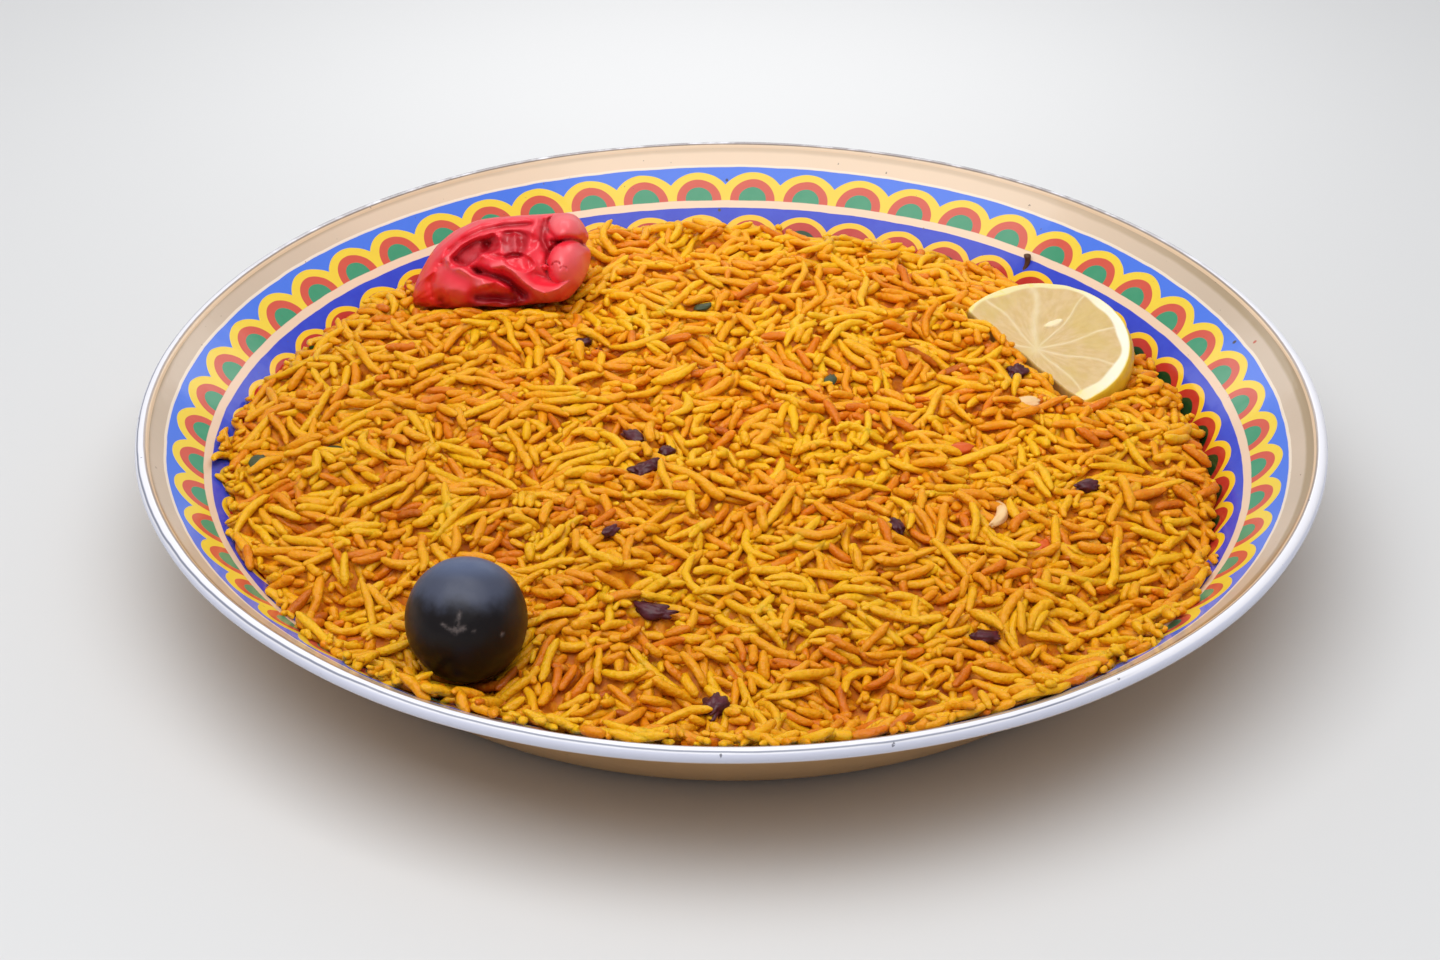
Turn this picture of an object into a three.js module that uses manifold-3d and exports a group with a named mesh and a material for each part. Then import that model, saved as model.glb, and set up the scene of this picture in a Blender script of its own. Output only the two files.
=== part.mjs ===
// A round enamelled plate heaped with long-grain biryani rice, with a cooked red
// pepper, a lemon slice and a dried black lime on top.
// Millimetres, +Z up, origin at the middle of the plate's flat base.
import * as THREE from 'three';
import { mergeVertices } from 'three/addons/utils/BufferGeometryUtils.js';
import Module from 'manifold-3d';

const wasm = await Module();
wasm.setup();

// Plate
const PLATE_SEGMENTS = 54;
const PLATE_RADIUS = 160;
const WALL = 1.4;
const BEAD_RADIUS = 2;
const BEAD_HEIGHT = 39.4;
const KNEE = { r: 135, z: 24.5 };
const FLANGE_RISE = 0.727;
const WALL_ANGLE = THREE.MathUtils.degToRad(52);
const BASE_CORNER = 12;
const BASE_CORNER_CENTRE = 111.8;
const CORNER_STEPS = 2;

// Heap of rice
const FIT_GAP = 0.3;
const HEAP_RADIUS = 136.5;
const HEAP_EDGE = 25.6;
const HEAP_CROWN = 10.5;
const HEAP_DRIFT = THREE.MathUtils.degToRad(200);
const WEAVE_CELL = 14.4;
const LANES = 3;
const WEAVE_REACH = 11;
const GRAIN_RISE = 1.7;
const GRAIN_SINK = 0.5;
const LONG_GRAINS = 6;

// Dried black lime
const LIME_CENTRE = new THREE.Vector3(-64.1, -107.3, 42.1);
const LIME_RADIUS = 14.9;
const LIME_HALF_HEIGHT = 15.6;

// Lemon slice: a disc with its near left part cut off straight, lying tilted
const LEMON_CENTRE = new THREE.Vector3(87.5, 43, 34.4);
const LEMON_YAW = THREE.MathUtils.degToRad(-14.5);
const LEMON_TILT = THREE.MathUtils.degToRad(15.6);
const LEMON_RADIUS = 25.4;
const LEMON_CUT_DISTANCE = 6.2;
const LEMON_CUT_SIDE = THREE.MathUtils.degToRad(-127.6);
const LEMON_THICKNESS = 8.5;
const LEMON_ARC_STEPS = 22;

// Red pepper: cross-sections along its length, left end to right end
const PEPPER_LEFT = -94;
const PEPPER_LENGTH = 53;
const PEPPER_HALF_HEIGHT = 12.9;
const PEPPER_DEPTH_RATIO = { left: 1.6, right: 1.3 };
const PEPPER_SECTIONS = 24;
const PEPPER_AROUND = 18;

// Three outward swells of the heap's edge
function heapOutline(angle) {
  return HEAP_RADIUS + 3 * Math.cos(angle - HEAP_DRIFT)
    + 0.9 * Math.sin(3 * angle + 0.7) + 0.7 * Math.sin(7 * angle + 2);
}

// Height of the heap's smooth surface over a point of the plate
function heapHeight(x, y) {
  const r = Math.hypot(x, y);
  const angle = Math.atan2(y, x);
  const edge = heapOutline(angle);
  const inward = Math.min(r / edge, 1);
  const lean = 2.2 * Math.cos(angle - HEAP_DRIFT) * r / HEAP_RADIUS;
  const dome = HEAP_CROWN * Math.pow(1 - Math.pow(inward, 2.4), 0.85);
  const skirt = 0.9 * Math.max(r - edge, 0);
  const hollows = 0.7 * Math.sin(x / 17 + 1.3) * Math.cos(y / 21 + 0.4)
    + 0.5 * Math.sin((x + 1.7 * y) / 13);
  return HEAP_EDGE + lean + dome - skirt + hollows;
}

// Repeatable random numbers from 0 to 1
function seededRandom(seed) {
  let state = seed;
  return () => {
    state = (state + 0x6d2b79f5) | 0;
    let t = Math.imul(state ^ (state >>> 15), 1 | state);
    t = (t + Math.imul(t ^ (t >>> 7), 61 | t)) ^ t;
    return ((t ^ (t >>> 14)) >>> 0) / 4294967296;
  };
}

function geometryFrom(points, faces) {
  const geometry = new THREE.BufferGeometry();
  const flat = points.flatMap((p) => [p.x, p.y, p.z]);
  geometry.setAttribute('position', new THREE.Float32BufferAttribute(flat, 3));
  geometry.setIndex(faces.flat());
  return geometry;
}

// Closed mesh to solid: shared vertices are merged and empty triangles dropped
function solidFrom(geometry) {
  const bare = geometry.clone();
  bare.deleteAttribute('normal');
  bare.deleteAttribute('uv');
  const merged = mergeVertices(bare, 1e-4);
  const index = merged.index.array;
  const triangles = [];
  for (let i = 0; i < index.length; i += 3) {
    const [a, b, c] = [index[i], index[i + 1], index[i + 2]];
    if (a !== b && b !== c && c !== a) triangles.push(a, b, c);
  }
  return new wasm.Manifold(new wasm.Mesh({
    numProp: 3,
    vertProperties: Float32Array.from(merged.attributes.position.array),
    triVerts: Uint32Array.from(triangles),
  }));
}

function geometryFromSolid(solid) {
  const mesh = solid.getMesh();
  const geometry = new THREE.BufferGeometry();
  geometry.setAttribute('position', new THREE.BufferAttribute(mesh.vertProperties, 3));
  geometry.setIndex(Array.from(mesh.triVerts));
  return geometry;
}

// Turns a profile of (radius, height) points round the plate's upright axis
function turned(profile) {
  const geometry = new THREE.LatheGeometry(profile, PLATE_SEGMENTS);
  geometry.rotateX(Math.PI / 2);
  return geometry;
}

// Corner between the flat base and the steep wall, set in by the given depth
function baseCorner(depth) {
  const points = [];
  for (let k = 0; k <= CORNER_STEPS; k += 1) {
    const angle = -Math.PI / 2 + (WALL_ANGLE * k) / CORNER_STEPS;
    const radius = BASE_CORNER - depth;
    points.push(new THREE.Vector2(
      BASE_CORNER_CENTRE + radius * Math.cos(angle),
      BASE_CORNER + radius * Math.sin(angle),
    ));
  }
  return points;
}

// Where the wall meets the flange, offset from the plate's inner surface
function kneeAt(depth) {
  const bend = 0.5 * (WALL_ANGLE + Math.atan(FLANGE_RISE));
  return new THREE.Vector2(KNEE.r + depth * Math.sin(bend), KNEE.z - depth * Math.cos(bend));
}

function makePlate() {
  const profile = [new THREE.Vector2(0, 0), ...baseCorner(0), kneeAt(WALL)];
  const beadSteps = 7;
  const beadStart = THREE.MathUtils.degToRad(-145);
  const beadSweep = THREE.MathUtils.degToRad(295);
  const beadCentre = PLATE_RADIUS - BEAD_RADIUS;
  for (let k = 0; k <= beadSteps; k += 1) {
    const angle = beadStart + (beadSweep * k) / beadSteps;
    profile.push(new THREE.Vector2(
      beadCentre + BEAD_RADIUS * Math.cos(angle),
      BEAD_HEIGHT + BEAD_RADIUS * Math.sin(angle),
    ));
  }
  profile.push(kneeAt(0), ...baseCorner(WALL).reverse(), new THREE.Vector2(0, WALL));
  return turned(profile);
}

// Space that the plate leaves for the rice, a fitting gap clear of the plate
function makeBowlSpace() {
  const lip = 150;
  const top = 70;
  const knee = kneeAt(-FIT_GAP);
  const lipHeight = knee.y + FLANGE_RISE * (lip - knee.x);
  return turned([
    new THREE.Vector2(0, WALL + FIT_GAP), ...baseCorner(WALL + FIT_GAP), knee,
    new THREE.Vector2(lip, lipHeight), new THREE.Vector2(lip, top), new THREE.Vector2(0, top),
  ]);
}

// Rice surface: square cells of three grains side by side, turned at random and
// swept into curves, each grain a low ridge between valleys
function makeRiceSurface() {
  const random = seededRandom(41);
  const spread = (amount) => amount * (2 * random() - 1);
  const step = WEAVE_CELL / LANES;
  const points = [];
  const faces = [];
  const valleys = new Map();
  const swept = (x, y) => [
    x + 6 * Math.sin(y / 13 + 0.6) + 3.5 * Math.sin(y / 6.5 + x / 31),
    y + 6 * Math.sin(x / 14 + 2.1) + 3.5 * Math.sin(x / 7 - y / 37),
  ];
  const valley = (i, j) => {
    const key = `${i},${j}`;
    if (!valleys.has(key)) {
      const [x, y] = swept(i * step + spread(0.7), j * step + spread(0.7));
      valleys.set(key, points.length);
      points.push(new THREE.Vector3(x, y, heapHeight(x, y) - GRAIN_SINK + spread(0.4)));
    }
    return valleys.get(key);
  };
  const ridge = (i, j) => {
    const [x, y] = swept(i * step, j * step);
    const lift = GRAIN_RISE - GRAIN_SINK + spread(0.75);
    points.push(new THREE.Vector3(x, y, heapHeight(x, y) + lift));
    return points.length - 1;
  };
  for (let row = -WEAVE_REACH; row < WEAVE_REACH; row += 1) {
    for (let column = -WEAVE_REACH; column < WEAVE_REACH; column += 1) {
      const upright = random() < 0.5;
      for (let lane = 0; lane < LANES; lane += 1) {
        const place = (along, across) => (upright
          ? [LANES * column + across, LANES * row + along]
          : [LANES * column + along, LANES * row + across]);
        const near = [[0, lane], [LANES, lane]];
        const far = [[LANES, lane + 1], [0, lane + 1]];
        if (lane === 0) near.splice(1, 0, [1, 0], [2, 0]);
        if (lane === LANES - 1) far.splice(1, 0, [2, LANES], [1, LANES]);
        const loop = [...near, ...far];
        const middle = lane + 0.5 + spread(0.12);
        const ends = [ridge(...place(0.55, middle)), ridge(...place(LANES - 0.55, middle))];
        loop.forEach(([along, across], k) => {
          const [nextAlong, nextAcross] = loop[(k + 1) % loop.length];
          const a = valley(...place(along, across));
          const b = valley(...place(nextAlong, nextAcross));
          const top = ends[along < LANES / 2 ? 0 : 1];
          const nextTop = ends[nextAlong < LANES / 2 ? 0 : 1];
          faces.push(upright ? [b, a, top] : [a, b, top]);
          if (top !== nextTop) faces.push(upright ? [nextTop, b, top] : [b, nextTop, top]);
        });
      }
    }
  }
  closeBelow(points, faces, valley);
  return geometryFrom(points, faces);
}

// Side walls and a floor under the rice surface, which the bowl's form trims off
function closeBelow(points, faces, valley) {
  const floor = -20;
  const low = -LANES * WEAVE_REACH;
  const high = LANES * WEAVE_REACH;
  const rim = [];
  for (let k = low; k < high; k += 1) rim.push(valley(k, low));
  for (let k = low; k < high; k += 1) rim.push(valley(high, k));
  for (let k = high; k > low; k -= 1) rim.push(valley(k, high));
  for (let k = high; k > low; k -= 1) rim.push(valley(low, k));
  const below = rim.map((top) => {
    points.push(new THREE.Vector3(points[top].x, points[top].y, floor));
    return points.length - 1;
  });
  points.push(new THREE.Vector3(0, 0, floor));
  const middle = points.length - 1;
  rim.forEach((top, k) => {
    const next = (k + 1) % rim.length;
    faces.push([rim[next], top, below[k]], [rim[next], below[k], below[next]]);
    faces.push([below[next], below[k], middle]);
  });
}

// A closed form carried along a path: rings of points between two end points
function lofted(ring, rings, around, firstEnd, lastEnd) {
  const points = [firstEnd];
  const faces = [];
  for (let i = 0; i < rings; i += 1) {
    for (let k = 0; k < around; k += 1) points.push(ring(i, k));
  }
  points.push(lastEnd);
  const last = points.length - 1;
  const at = (i, k) => 1 + i * around + (k % around);
  for (let k = 0; k < around; k += 1) {
    faces.push([0, at(0, k + 1), at(0, k)]);
    faces.push([last, at(rings - 1, k), at(rings - 1, k + 1)]);
    for (let i = 0; i < rings - 1; i += 1) {
      faces.push([at(i, k), at(i, k + 1), at(i + 1, k + 1)]);
      faces.push([at(i, k), at(i + 1, k + 1), at(i + 1, k)]);
    }
  }
  return geometryFrom(points, faces);
}

// One bowed grain of rice, thickest at its middle, lying on the heap
function makeLongGrain({ x, y, yaw, length, bow }) {
  const around = 5;
  const stations = [0.14, 0.5, 0.86];
  const radius = 1.35;
  const spine = (t) => {
    const along = (t - 0.5) * length;
    const side = bow * (1 - (2 * t - 1) ** 2);
    const px = x + along * Math.cos(yaw) - side * Math.sin(yaw);
    const py = y + along * Math.sin(yaw) + side * Math.cos(yaw);
    return new THREE.Vector3(px, py, heapHeight(x, y) + 1.1);
  };
  const ring = (i, k) => {
    const swell = radius * (i === 1 ? 1 : 0.72);
    const angle = (2 * Math.PI * k) / around;
    const point = spine(stations[i]);
    point.x -= swell * Math.cos(angle) * Math.sin(yaw);
    point.y += swell * Math.cos(angle) * Math.cos(yaw);
    point.z += swell * Math.sin(angle);
    return point;
  };
  return lofted(ring, stations.length, around, spine(0), spine(1));
}

// A shrivelled dark morsel, a squashed ball of a few faces
function makeMorsel({ x, y, yaw, length, width }) {
  const geometry = new THREE.SphereGeometry(1, 6, 4);
  geometry.scale(length / 2, width / 2, width * 0.36);
  geometry.rotateZ(yaw);
  geometry.translate(x, y, heapHeight(x, y) + 0.9);
  return geometry;
}

// Dark fruit and spice lying in the rice, by place, turn and size
const MORSELS = [
  { x: -22.3, y: -30.3, yaw: 0.5, length: 8.5, width: 6 },
  { x: -26, y: -15.7, yaw: 2.2, length: 8, width: 4.5 },
  { x: -17.4, y: -20.3, yaw: 1.1, length: 6, width: 4.5 },
  { x: -19.1, y: -94.1, yaw: -0.3, length: 10, width: 5 },
  { x: -3.7, y: -128, yaw: 1.3, length: 8.5, width: 7 },
  { x: 80, y: 31, yaw: 0.9, length: 7, width: 5.5 },
  { x: 94.6, y: -30.5, yaw: 0.2, length: 7.5, width: 4.5 },
  { x: 42.7, y: -53.6, yaw: 1.9, length: 7, width: 4.5 },
  { x: 63.2, y: -98.7, yaw: 0.1, length: 8, width: 5 },
  { x: -126.6, y: -17.9, yaw: 1.2, length: 7, width: 4.5 },
];

// Long grains on top, spread evenly by the golden angle, clear of the garnish
function longGrainPlaces() {
  const random = seededRandom(7);
  const goldenAngle = Math.PI * (3 - Math.sqrt(5));
  const garnish = [
    { x: LIME_CENTRE.x, y: LIME_CENTRE.y, reach: 28 },
    { x: 92, y: 44, reach: 46 },
    { x: -67, y: 78, reach: 42 },
    ...MORSELS.map(({ x, y }) => ({ x, y, reach: 14 })),
  ];
  const places = [];
  for (let k = 0; places.length < LONG_GRAINS; k += 1) {
    const r = 124 * Math.sqrt((k + 0.5) / (LONG_GRAINS * 1.6));
    const angle = k * goldenAngle;
    const grain = {
      x: r * Math.cos(angle),
      y: r * Math.sin(angle),
      yaw: Math.PI * random(),
      length: 13 + 4 * random(),
      bow: 2.4 * random() - 1.2,
    };
    const clear = garnish.every((g) => Math.hypot(grain.x - g.x, grain.y - g.y) > g.reach);
    if (clear || k > 200) places.push(grain);
  }
  return places;
}

function makeLime(grow) {
  const geometry = new THREE.SphereGeometry(1, 18, 10);
  geometry.rotateX(Math.PI / 2);
  geometry.scale(LIME_RADIUS + grow, LIME_RADIUS + grow, LIME_HALF_HEIGHT + grow);
  geometry.translate(LIME_CENTRE.x, LIME_CENTRE.y, LIME_CENTRE.z);
  return geometry;
}

// Round slice with a straight cut: the rind bulges between the two faces
function makeLemon(grow) {
  const layers = [
    { depth: -grow, size: 1 },
    { depth: LEMON_THICKNESS * 0.5, size: 1.05 },
    { depth: LEMON_THICKNESS + grow, size: 0.97 },
  ];
  const around = LEMON_ARC_STEPS + 1;
  const half = Math.PI - Math.acos(LEMON_CUT_DISTANCE / LEMON_RADIUS);
  const points = layers.flatMap(({ depth, size }) => {
    const loop = [];
    for (let k = 0; k < around; k += 1) {
      const angle = LEMON_CUT_SIDE + Math.PI + half * ((2 * k) / LEMON_ARC_STEPS - 1);
      const radius = (k === 0 || k === LEMON_ARC_STEPS ? 1 : size) * LEMON_RADIUS + grow;
      const x = radius * Math.cos(angle) + grow * Math.cos(LEMON_CUT_SIDE);
      const y = radius * Math.sin(angle) + grow * Math.sin(LEMON_CUT_SIDE);
      loop.push(new THREE.Vector3(x, y, -depth));
    }
    return loop;
  });
  const at = (layer, k) => layer * around + (k % around);
  const faces = [];
  for (let k = 1; k < around - 1; k += 1) {
    faces.push([at(0, 0), at(0, k), at(0, k + 1)]);
    faces.push([at(2, 0), at(2, k + 1), at(2, k)]);
  }
  for (let layer = 0; layer < 2; layer += 1) {
    for (let k = 0; k < around; k += 1) {
      faces.push([at(layer, k), at(layer + 1, k), at(layer + 1, k + 1)]);
      faces.push([at(layer, k), at(layer + 1, k + 1), at(layer, k + 1)]);
    }
  }
  const geometry = geometryFrom(points, faces);
  geometry.rotateX(LEMON_TILT);
  geometry.rotateZ(LEMON_YAW);
  geometry.translate(LEMON_CENTRE.x, LEMON_CENTRE.y, LEMON_CENTRE.z);
  return geometry;
}

// Folds of the wilted pepper: height, width, and a path of (length, turn) points.
// Length runs 0 to 1 from the left end, turn is radians up from the near side.
const PEPPER_FOLDS = [
  { height: 1.6, width: 2.6, path: [[0.12, 0.7], [0.25, 1.25], [0.5, 1.45], [0.72, 1.5]] },
  { height: -2.4, width: 2.2, path: [[0.2, 0.55], [0.32, 0.95], [0.5, 1.05], [0.66, 1.1]] },
  { height: -2.6, width: 3.6, path: [[0.32, 0.5], [0.5, 0.62], [0.6, 0.55]] },
  { height: -3.2, width: 2.2, path: [[0.22, 0.75], [0.38, 0.15], [0.56, -0.25]] },
  { height: 1.8, width: 2.4, path: [[0.46, 0.33], [0.6, 0.3], [0.69, -0.15], [0.82, -0.55]] },
  { height: -3, width: 2.6, path: [[0.74, 1.15], [0.77, 0.75], [1, 0.8]] },
  { height: -1.6, width: 3, path: [[0.76, -0.1], [0.84, -0.25]] },
  { height: 1.6, width: 4.5, path: [[0.84, 1.35], [0.92, 1.3]] },
  { height: -2.2, width: 3, path: [[0.3, 2.2], [0.62, 2.5], [0.95, 2.1]] },
];

// Half height of the pepper along its length: a slim left end, a blunt right end
function pepperHalfHeight(s) {
  const left = Math.pow(1 - Math.pow(1 - Math.min(s / 0.6, 1), 2.2), 0.62);
  const right = s > 0.84 ? Math.sqrt(Math.max(1 - ((s - 0.84) / 0.16) ** 2, 0)) : 1;
  return PEPPER_HALF_HEIGHT * left * right;
}

// Middle line of the pepper, which lies sunk a little in the rice
function pepperMiddle(s) {
  const y = 81 - 6 * THREE.MathUtils.smoothstep(s, 0.1, 0.6) + 3 * Math.max(s - 0.85, 0) / 0.15;
  const full = pepperHalfHeight(Math.min(s, 0.84));
  return new THREE.Vector3(PEPPER_LEFT + PEPPER_LENGTH * s, y, 26.4 + 4.8 * s + full);
}

// Sum of the folds' heights at a point of the skin
function pepperFold(s, turn) {
  const turnLength = 11;
  const here = new THREE.Vector3(s * PEPPER_LENGTH, turn * turnLength, 0);
  const segment = new THREE.Line3();
  const foot = new THREE.Vector3();
  return PEPPER_FOLDS.reduce((sum, { height, width, path }) => {
    let nearest = Infinity;
    for (let k = 0; k + 1 < path.length; k += 1) {
      segment.start.set(path[k][0] * PEPPER_LENGTH, path[k][1] * turnLength, 0);
      segment.end.set(path[k + 1][0] * PEPPER_LENGTH, path[k + 1][1] * turnLength, 0);
      segment.closestPointToPoint(here, true, foot);
      nearest = Math.min(nearest, foot.distanceTo(here));
    }
    return sum + height * Math.exp(-((nearest / width) ** 2));
  }, 0);
}

function makePepper(grow) {
  const ring = (i, k) => {
    const t = (i + 0.5) / PEPPER_SECTIONS;
    const s = 0.5 - 0.5 * Math.cos(Math.PI * t);
    const turn = 1.5 * Math.PI - (2 * Math.PI * k) / PEPPER_AROUND;
    const full = pepperHalfHeight(s) / PEPPER_HALF_HEIGHT;
    const fold = pepperFold(s, turn) * Math.min(1, 1.3 * full);
    const high = pepperHalfHeight(s) + fold + grow;
    const ratio = THREE.MathUtils.lerp(PEPPER_DEPTH_RATIO.left, PEPPER_DEPTH_RATIO.right, s);
    const deep = pepperHalfHeight(s) * ratio + fold + grow;
    const point = pepperMiddle(s);
    point.y -= deep * Math.cos(turn);
    point.z += high * Math.sin(turn);
    return point;
  };
  const firstEnd = pepperMiddle(0);
  firstEnd.x -= grow;
  const lastEnd = pepperMiddle(1);
  lastEnd.x += grow;
  return lofted(ring, PEPPER_SECTIONS, PEPPER_AROUND, firstEnd, lastEnd);
}

function makeRice() {
  let rice = solidFrom(makeRiceSurface()).intersect(solidFrom(makeBowlSpace()));
  for (const morsel of MORSELS) rice = rice.add(solidFrom(makeMorsel(morsel)));
  for (const place of longGrainPlaces()) rice = rice.add(solidFrom(makeLongGrain(place)));
  rice = rice.subtract(solidFrom(makeLime(FIT_GAP)));
  rice = rice.subtract(solidFrom(makeLemon(FIT_GAP)));
  rice = rice.subtract(solidFrom(makePepper(FIT_GAP)));
  const pieces = rice.decompose().sort((a, b) => b.volume() - a.volume());
  return geometryFromSolid(pieces[0]);
}

function named(name, geometry, color, roughness) {
  const material = new THREE.MeshStandardMaterial({ color, roughness, metalness: 0 });
  const mesh = new THREE.Mesh(geometry, material);
  mesh.name = name;
  return mesh;
}

const group = new THREE.Group();
group.add(
  named('plate', makePlate(), 0xd9c4b0, 0.2),
  named('rice', makeRice(), 0xe39a24, 0.45),
  named('red_pepper', makePepper(0), 0xd42834, 0.3),
  named('lemon_slice', makeLemon(0), 0xeadc96, 0.35),
  named('black_lime', makeLime(0), 0x1c1a1b, 0.25),
);

export default group;
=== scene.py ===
"""Plate of biryani rice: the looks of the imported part.

All lengths in the formulas are millimetres and become metres when a mesh is made.
+Z is up, +Y is the far side with the pepper and the lemon, -Y the near side with the black lime.

Plate: a profile of radius and height turned round the upright axis, painted by a
pattern of circles set round the flange.
Rice: a core under the heap's surface, and loose grains laid one after another on a
height map, each set by a parabola fitted to what is under it.
Pepper, lemon slice and black lime: closed forms given by formulas, with finer relief.
"""

import math

import bpy
import numpy as np
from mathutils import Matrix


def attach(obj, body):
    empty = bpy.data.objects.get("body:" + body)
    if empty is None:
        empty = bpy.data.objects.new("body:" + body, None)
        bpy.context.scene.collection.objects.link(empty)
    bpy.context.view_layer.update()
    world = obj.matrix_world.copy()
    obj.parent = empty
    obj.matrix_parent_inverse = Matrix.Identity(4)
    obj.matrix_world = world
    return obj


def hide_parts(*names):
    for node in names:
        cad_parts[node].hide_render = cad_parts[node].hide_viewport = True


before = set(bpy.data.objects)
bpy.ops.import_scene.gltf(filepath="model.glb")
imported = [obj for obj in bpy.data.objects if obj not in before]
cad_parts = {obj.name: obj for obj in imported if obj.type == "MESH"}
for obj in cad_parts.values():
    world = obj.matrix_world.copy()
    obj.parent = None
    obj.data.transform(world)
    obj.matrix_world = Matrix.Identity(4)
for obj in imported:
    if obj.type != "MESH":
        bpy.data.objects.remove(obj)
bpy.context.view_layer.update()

TAU = 2 * math.pi
MM = 0.001

# Plate sizes, the same as in the CAD
BEAD_R, BEAD_Z, BEAD = 158.0, 39.4, 2.0
KNEE_R, KNEE_Z = 135.0, 24.5
WALL_ANGLE = math.radians(52)
FLANGE_SLOPE = 0.7475
WALL = 1.4
BASE_R, BASE_CORNER = 111.8, 12.0
SCALLOPS = 54
FIRST_SCALLOP = math.radians(200.47)
# Length up the flange for each millimetre outwards, as the rows of scallops use it
SLANT = 1.2364

# Cosine and sine of the photo's angle of sight, for what was measured across that view
SIGHT_COS, SIGHT_SIN = 0.857, 0.515

# Heap: mean radius, and the way it leans and drifts
HEAP_RADIUS, HEAP_WAY = 136.5, math.radians(200)

# Garnish places and sizes
LIME_CENTRE = np.array([-64.1, -107.3, 42.1])
LIME_RADII = np.array([14.9, 14.9, 15.6])
# The lime's size by which its scar and colours are measured
LIME_SPAN = 15.0
# Pepper: X of its left end, length, height of its foot, half its height, rise to the right
PEPPER_LEFT, PEPPER_LENGTH, PEPPER_FOOT = -94.0, 53.0, 26.4
PEPPER_HALF, PEPPER_LIFT = 12.9, 4.8
LEMON_CENTRE = np.array([87.5, 43.0, 34.4])
LEMON_YAW, LEMON_TILT = math.radians(-14.5), math.radians(15.6)
LEMON_RADIUS, LEMON_CUT, LEMON_THICKNESS = 25.4, 6.2, 8.5
LEMON_CUT_SIDE = math.radians(-127.6)
# How far left of and below the disc's middle the segments meet
HEART_X, HEART_Y = 0.6, 2.2


# Whole-array formulas


def lerp(a, b, t):
    """Straight blend from a to b."""
    return a + (b - a) * t


def smooth(x, low, high):
    """Smooth step: 0 below low, 1 above high, 3t^2 - 2t^3 between."""
    t = np.clip((x - low) / (high - low), 0, 1)
    return t * t * (3 - 2 * t)


def ripple(points, wavelength, seed, waves=8):
    """Smooth random field near -1 to 1: the mean of sines along seeded directions."""
    rng = np.random.default_rng(seed)
    ways = rng.normal(size=(waves, points.shape[-1]))
    ways /= np.linalg.norm(ways, axis=1, keepdims=True)
    lengths = wavelength * rng.uniform(0.7, 1.5, (waves, 1))
    phases = rng.uniform(0, TAU, waves)
    return 1.6 * np.sin(points @ (TAU * ways / lengths).T + phases).mean(axis=-1)


def heap_outline(angle):
    """Radius of the heap's edge: a circle drifted to 200 degrees, with two sine waves."""
    drift = 3 * np.cos(angle - HEAP_WAY)
    return HEAP_RADIUS + drift + 0.9 * np.sin(3 * angle + 0.7) + 0.7 * np.sin(7 * angle + 2)


def heap_height(x, y):
    """Height of the heap: edge height, a lean, a flat-topped dome and shallow hollows."""
    r = np.hypot(x, y)
    angle = np.arctan2(y, x)
    edge = heap_outline(angle)
    inward = np.minimum(r / edge, 1)
    lean = 2.2 * np.cos(angle - HEAP_WAY) * r / HEAP_RADIUS
    dome = 10.5 * (1 - inward**2.4) ** 0.85
    hollows = 0.7 * np.sin(x / 17 + 1.3) * np.cos(y / 21 + 0.4)
    hollows += 0.5 * np.sin((x + 1.7 * y) / 13)
    return 25.6 + lean + dome - 0.9 * np.maximum(r - edge, 0) + hollows


def loose_outline(angle):
    """Radius that the loose grains reach: 131 with a wave of 1.5, blended to 138.5 by a smooth
    step round 205 degrees, then to 150 by one round 262 degrees, wider to the right."""
    turn = angle - math.radians(262)
    near_right, near_left = smooth(np.cos(turn), -0.05, 0.8), smooth(np.cos(turn), 0.6, 0.95)
    near = np.where(np.sin(turn) > 0, near_right, near_left)
    left = smooth(np.cos(angle - math.radians(205)), 0.6, 0.95)
    base = 131 + 1.5 * np.cos(angle - math.radians(120))
    return lerp(base + (138.5 - base) * left, 150, near)


def plate_inside(r):
    """Height of the plate's inner surface: flat base, corner arc, steep wall, flange."""
    inner = BASE_CORNER - WALL
    reach = np.clip(r - BASE_R, 0, inner * math.sin(WALL_ANGLE))
    corner = BASE_CORNER - np.sqrt(inner**2 - reach**2)
    wall = KNEE_Z + (r - KNEE_R) * math.tan(WALL_ANGLE)
    flange = KNEE_Z + (r - KNEE_R) * FLANGE_SLOPE
    steep = BASE_R + inner * math.sin(WALL_ANGLE)
    return np.where(r < steep, corner, np.where(r < KNEE_R, wall, flange))


def past(x, y, line):
    """Distance to a line between two places."""
    (ax, ay), (bx, by) = line
    dx, dy = bx - ax, by - ay
    t = np.clip(((x - ax) * dx + (y - ay) * dy) / (dx * dx + dy * dy), 0, 1)
    return np.hypot(x - ax - t * dx, y - ay - t * dy)


# Meshes


def grid_faces(rows, columns):
    """Quads of a grid of points that closes round its columns."""
    i, k = np.meshgrid(np.arange(rows - 1), np.arange(columns), indexing="ij")
    after = (k + 1) % columns
    corners = [i * columns + k, i * columns + after]
    corners += [(i + 1) * columns + after, (i + 1) * columns + k]
    return np.stack(corners, -1).reshape(-1, 4)


def cap_faces(rows, columns):
    """Triangles from two end points, placed after the grid, to its first and last row."""
    k = np.arange(columns)
    after = (k + 1) % columns
    first = np.stack([np.full(columns, rows * columns), after, k], -1)
    last_row = (rows - 1) * columns
    last = np.stack([np.full(columns, rows * columns + 1), last_row + k, last_row + after], -1)
    return np.vstack([first, last])


def closed_form(rings, first, last):
    """Points and faces of rings (rows, columns, 3) closed by two end points."""
    rows, columns = rings.shape[:2]
    points = np.vstack([rings.reshape(-1, 3), first, last])
    return points, grid_faces(rows, columns), cap_faces(rows, columns)


def ball_ways(rows, lon):
    """Directions all round: latitudes from the X axis in rows, the given angles about it."""
    lat = (np.pi * (np.arange(rows) + 0.5) / rows)[:, None]
    parts = [np.cos(lat) + 0 * lon, np.sin(lat) * np.cos(lon), np.sin(lat) * np.sin(lon)]
    return np.stack(parts, -1)


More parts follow.
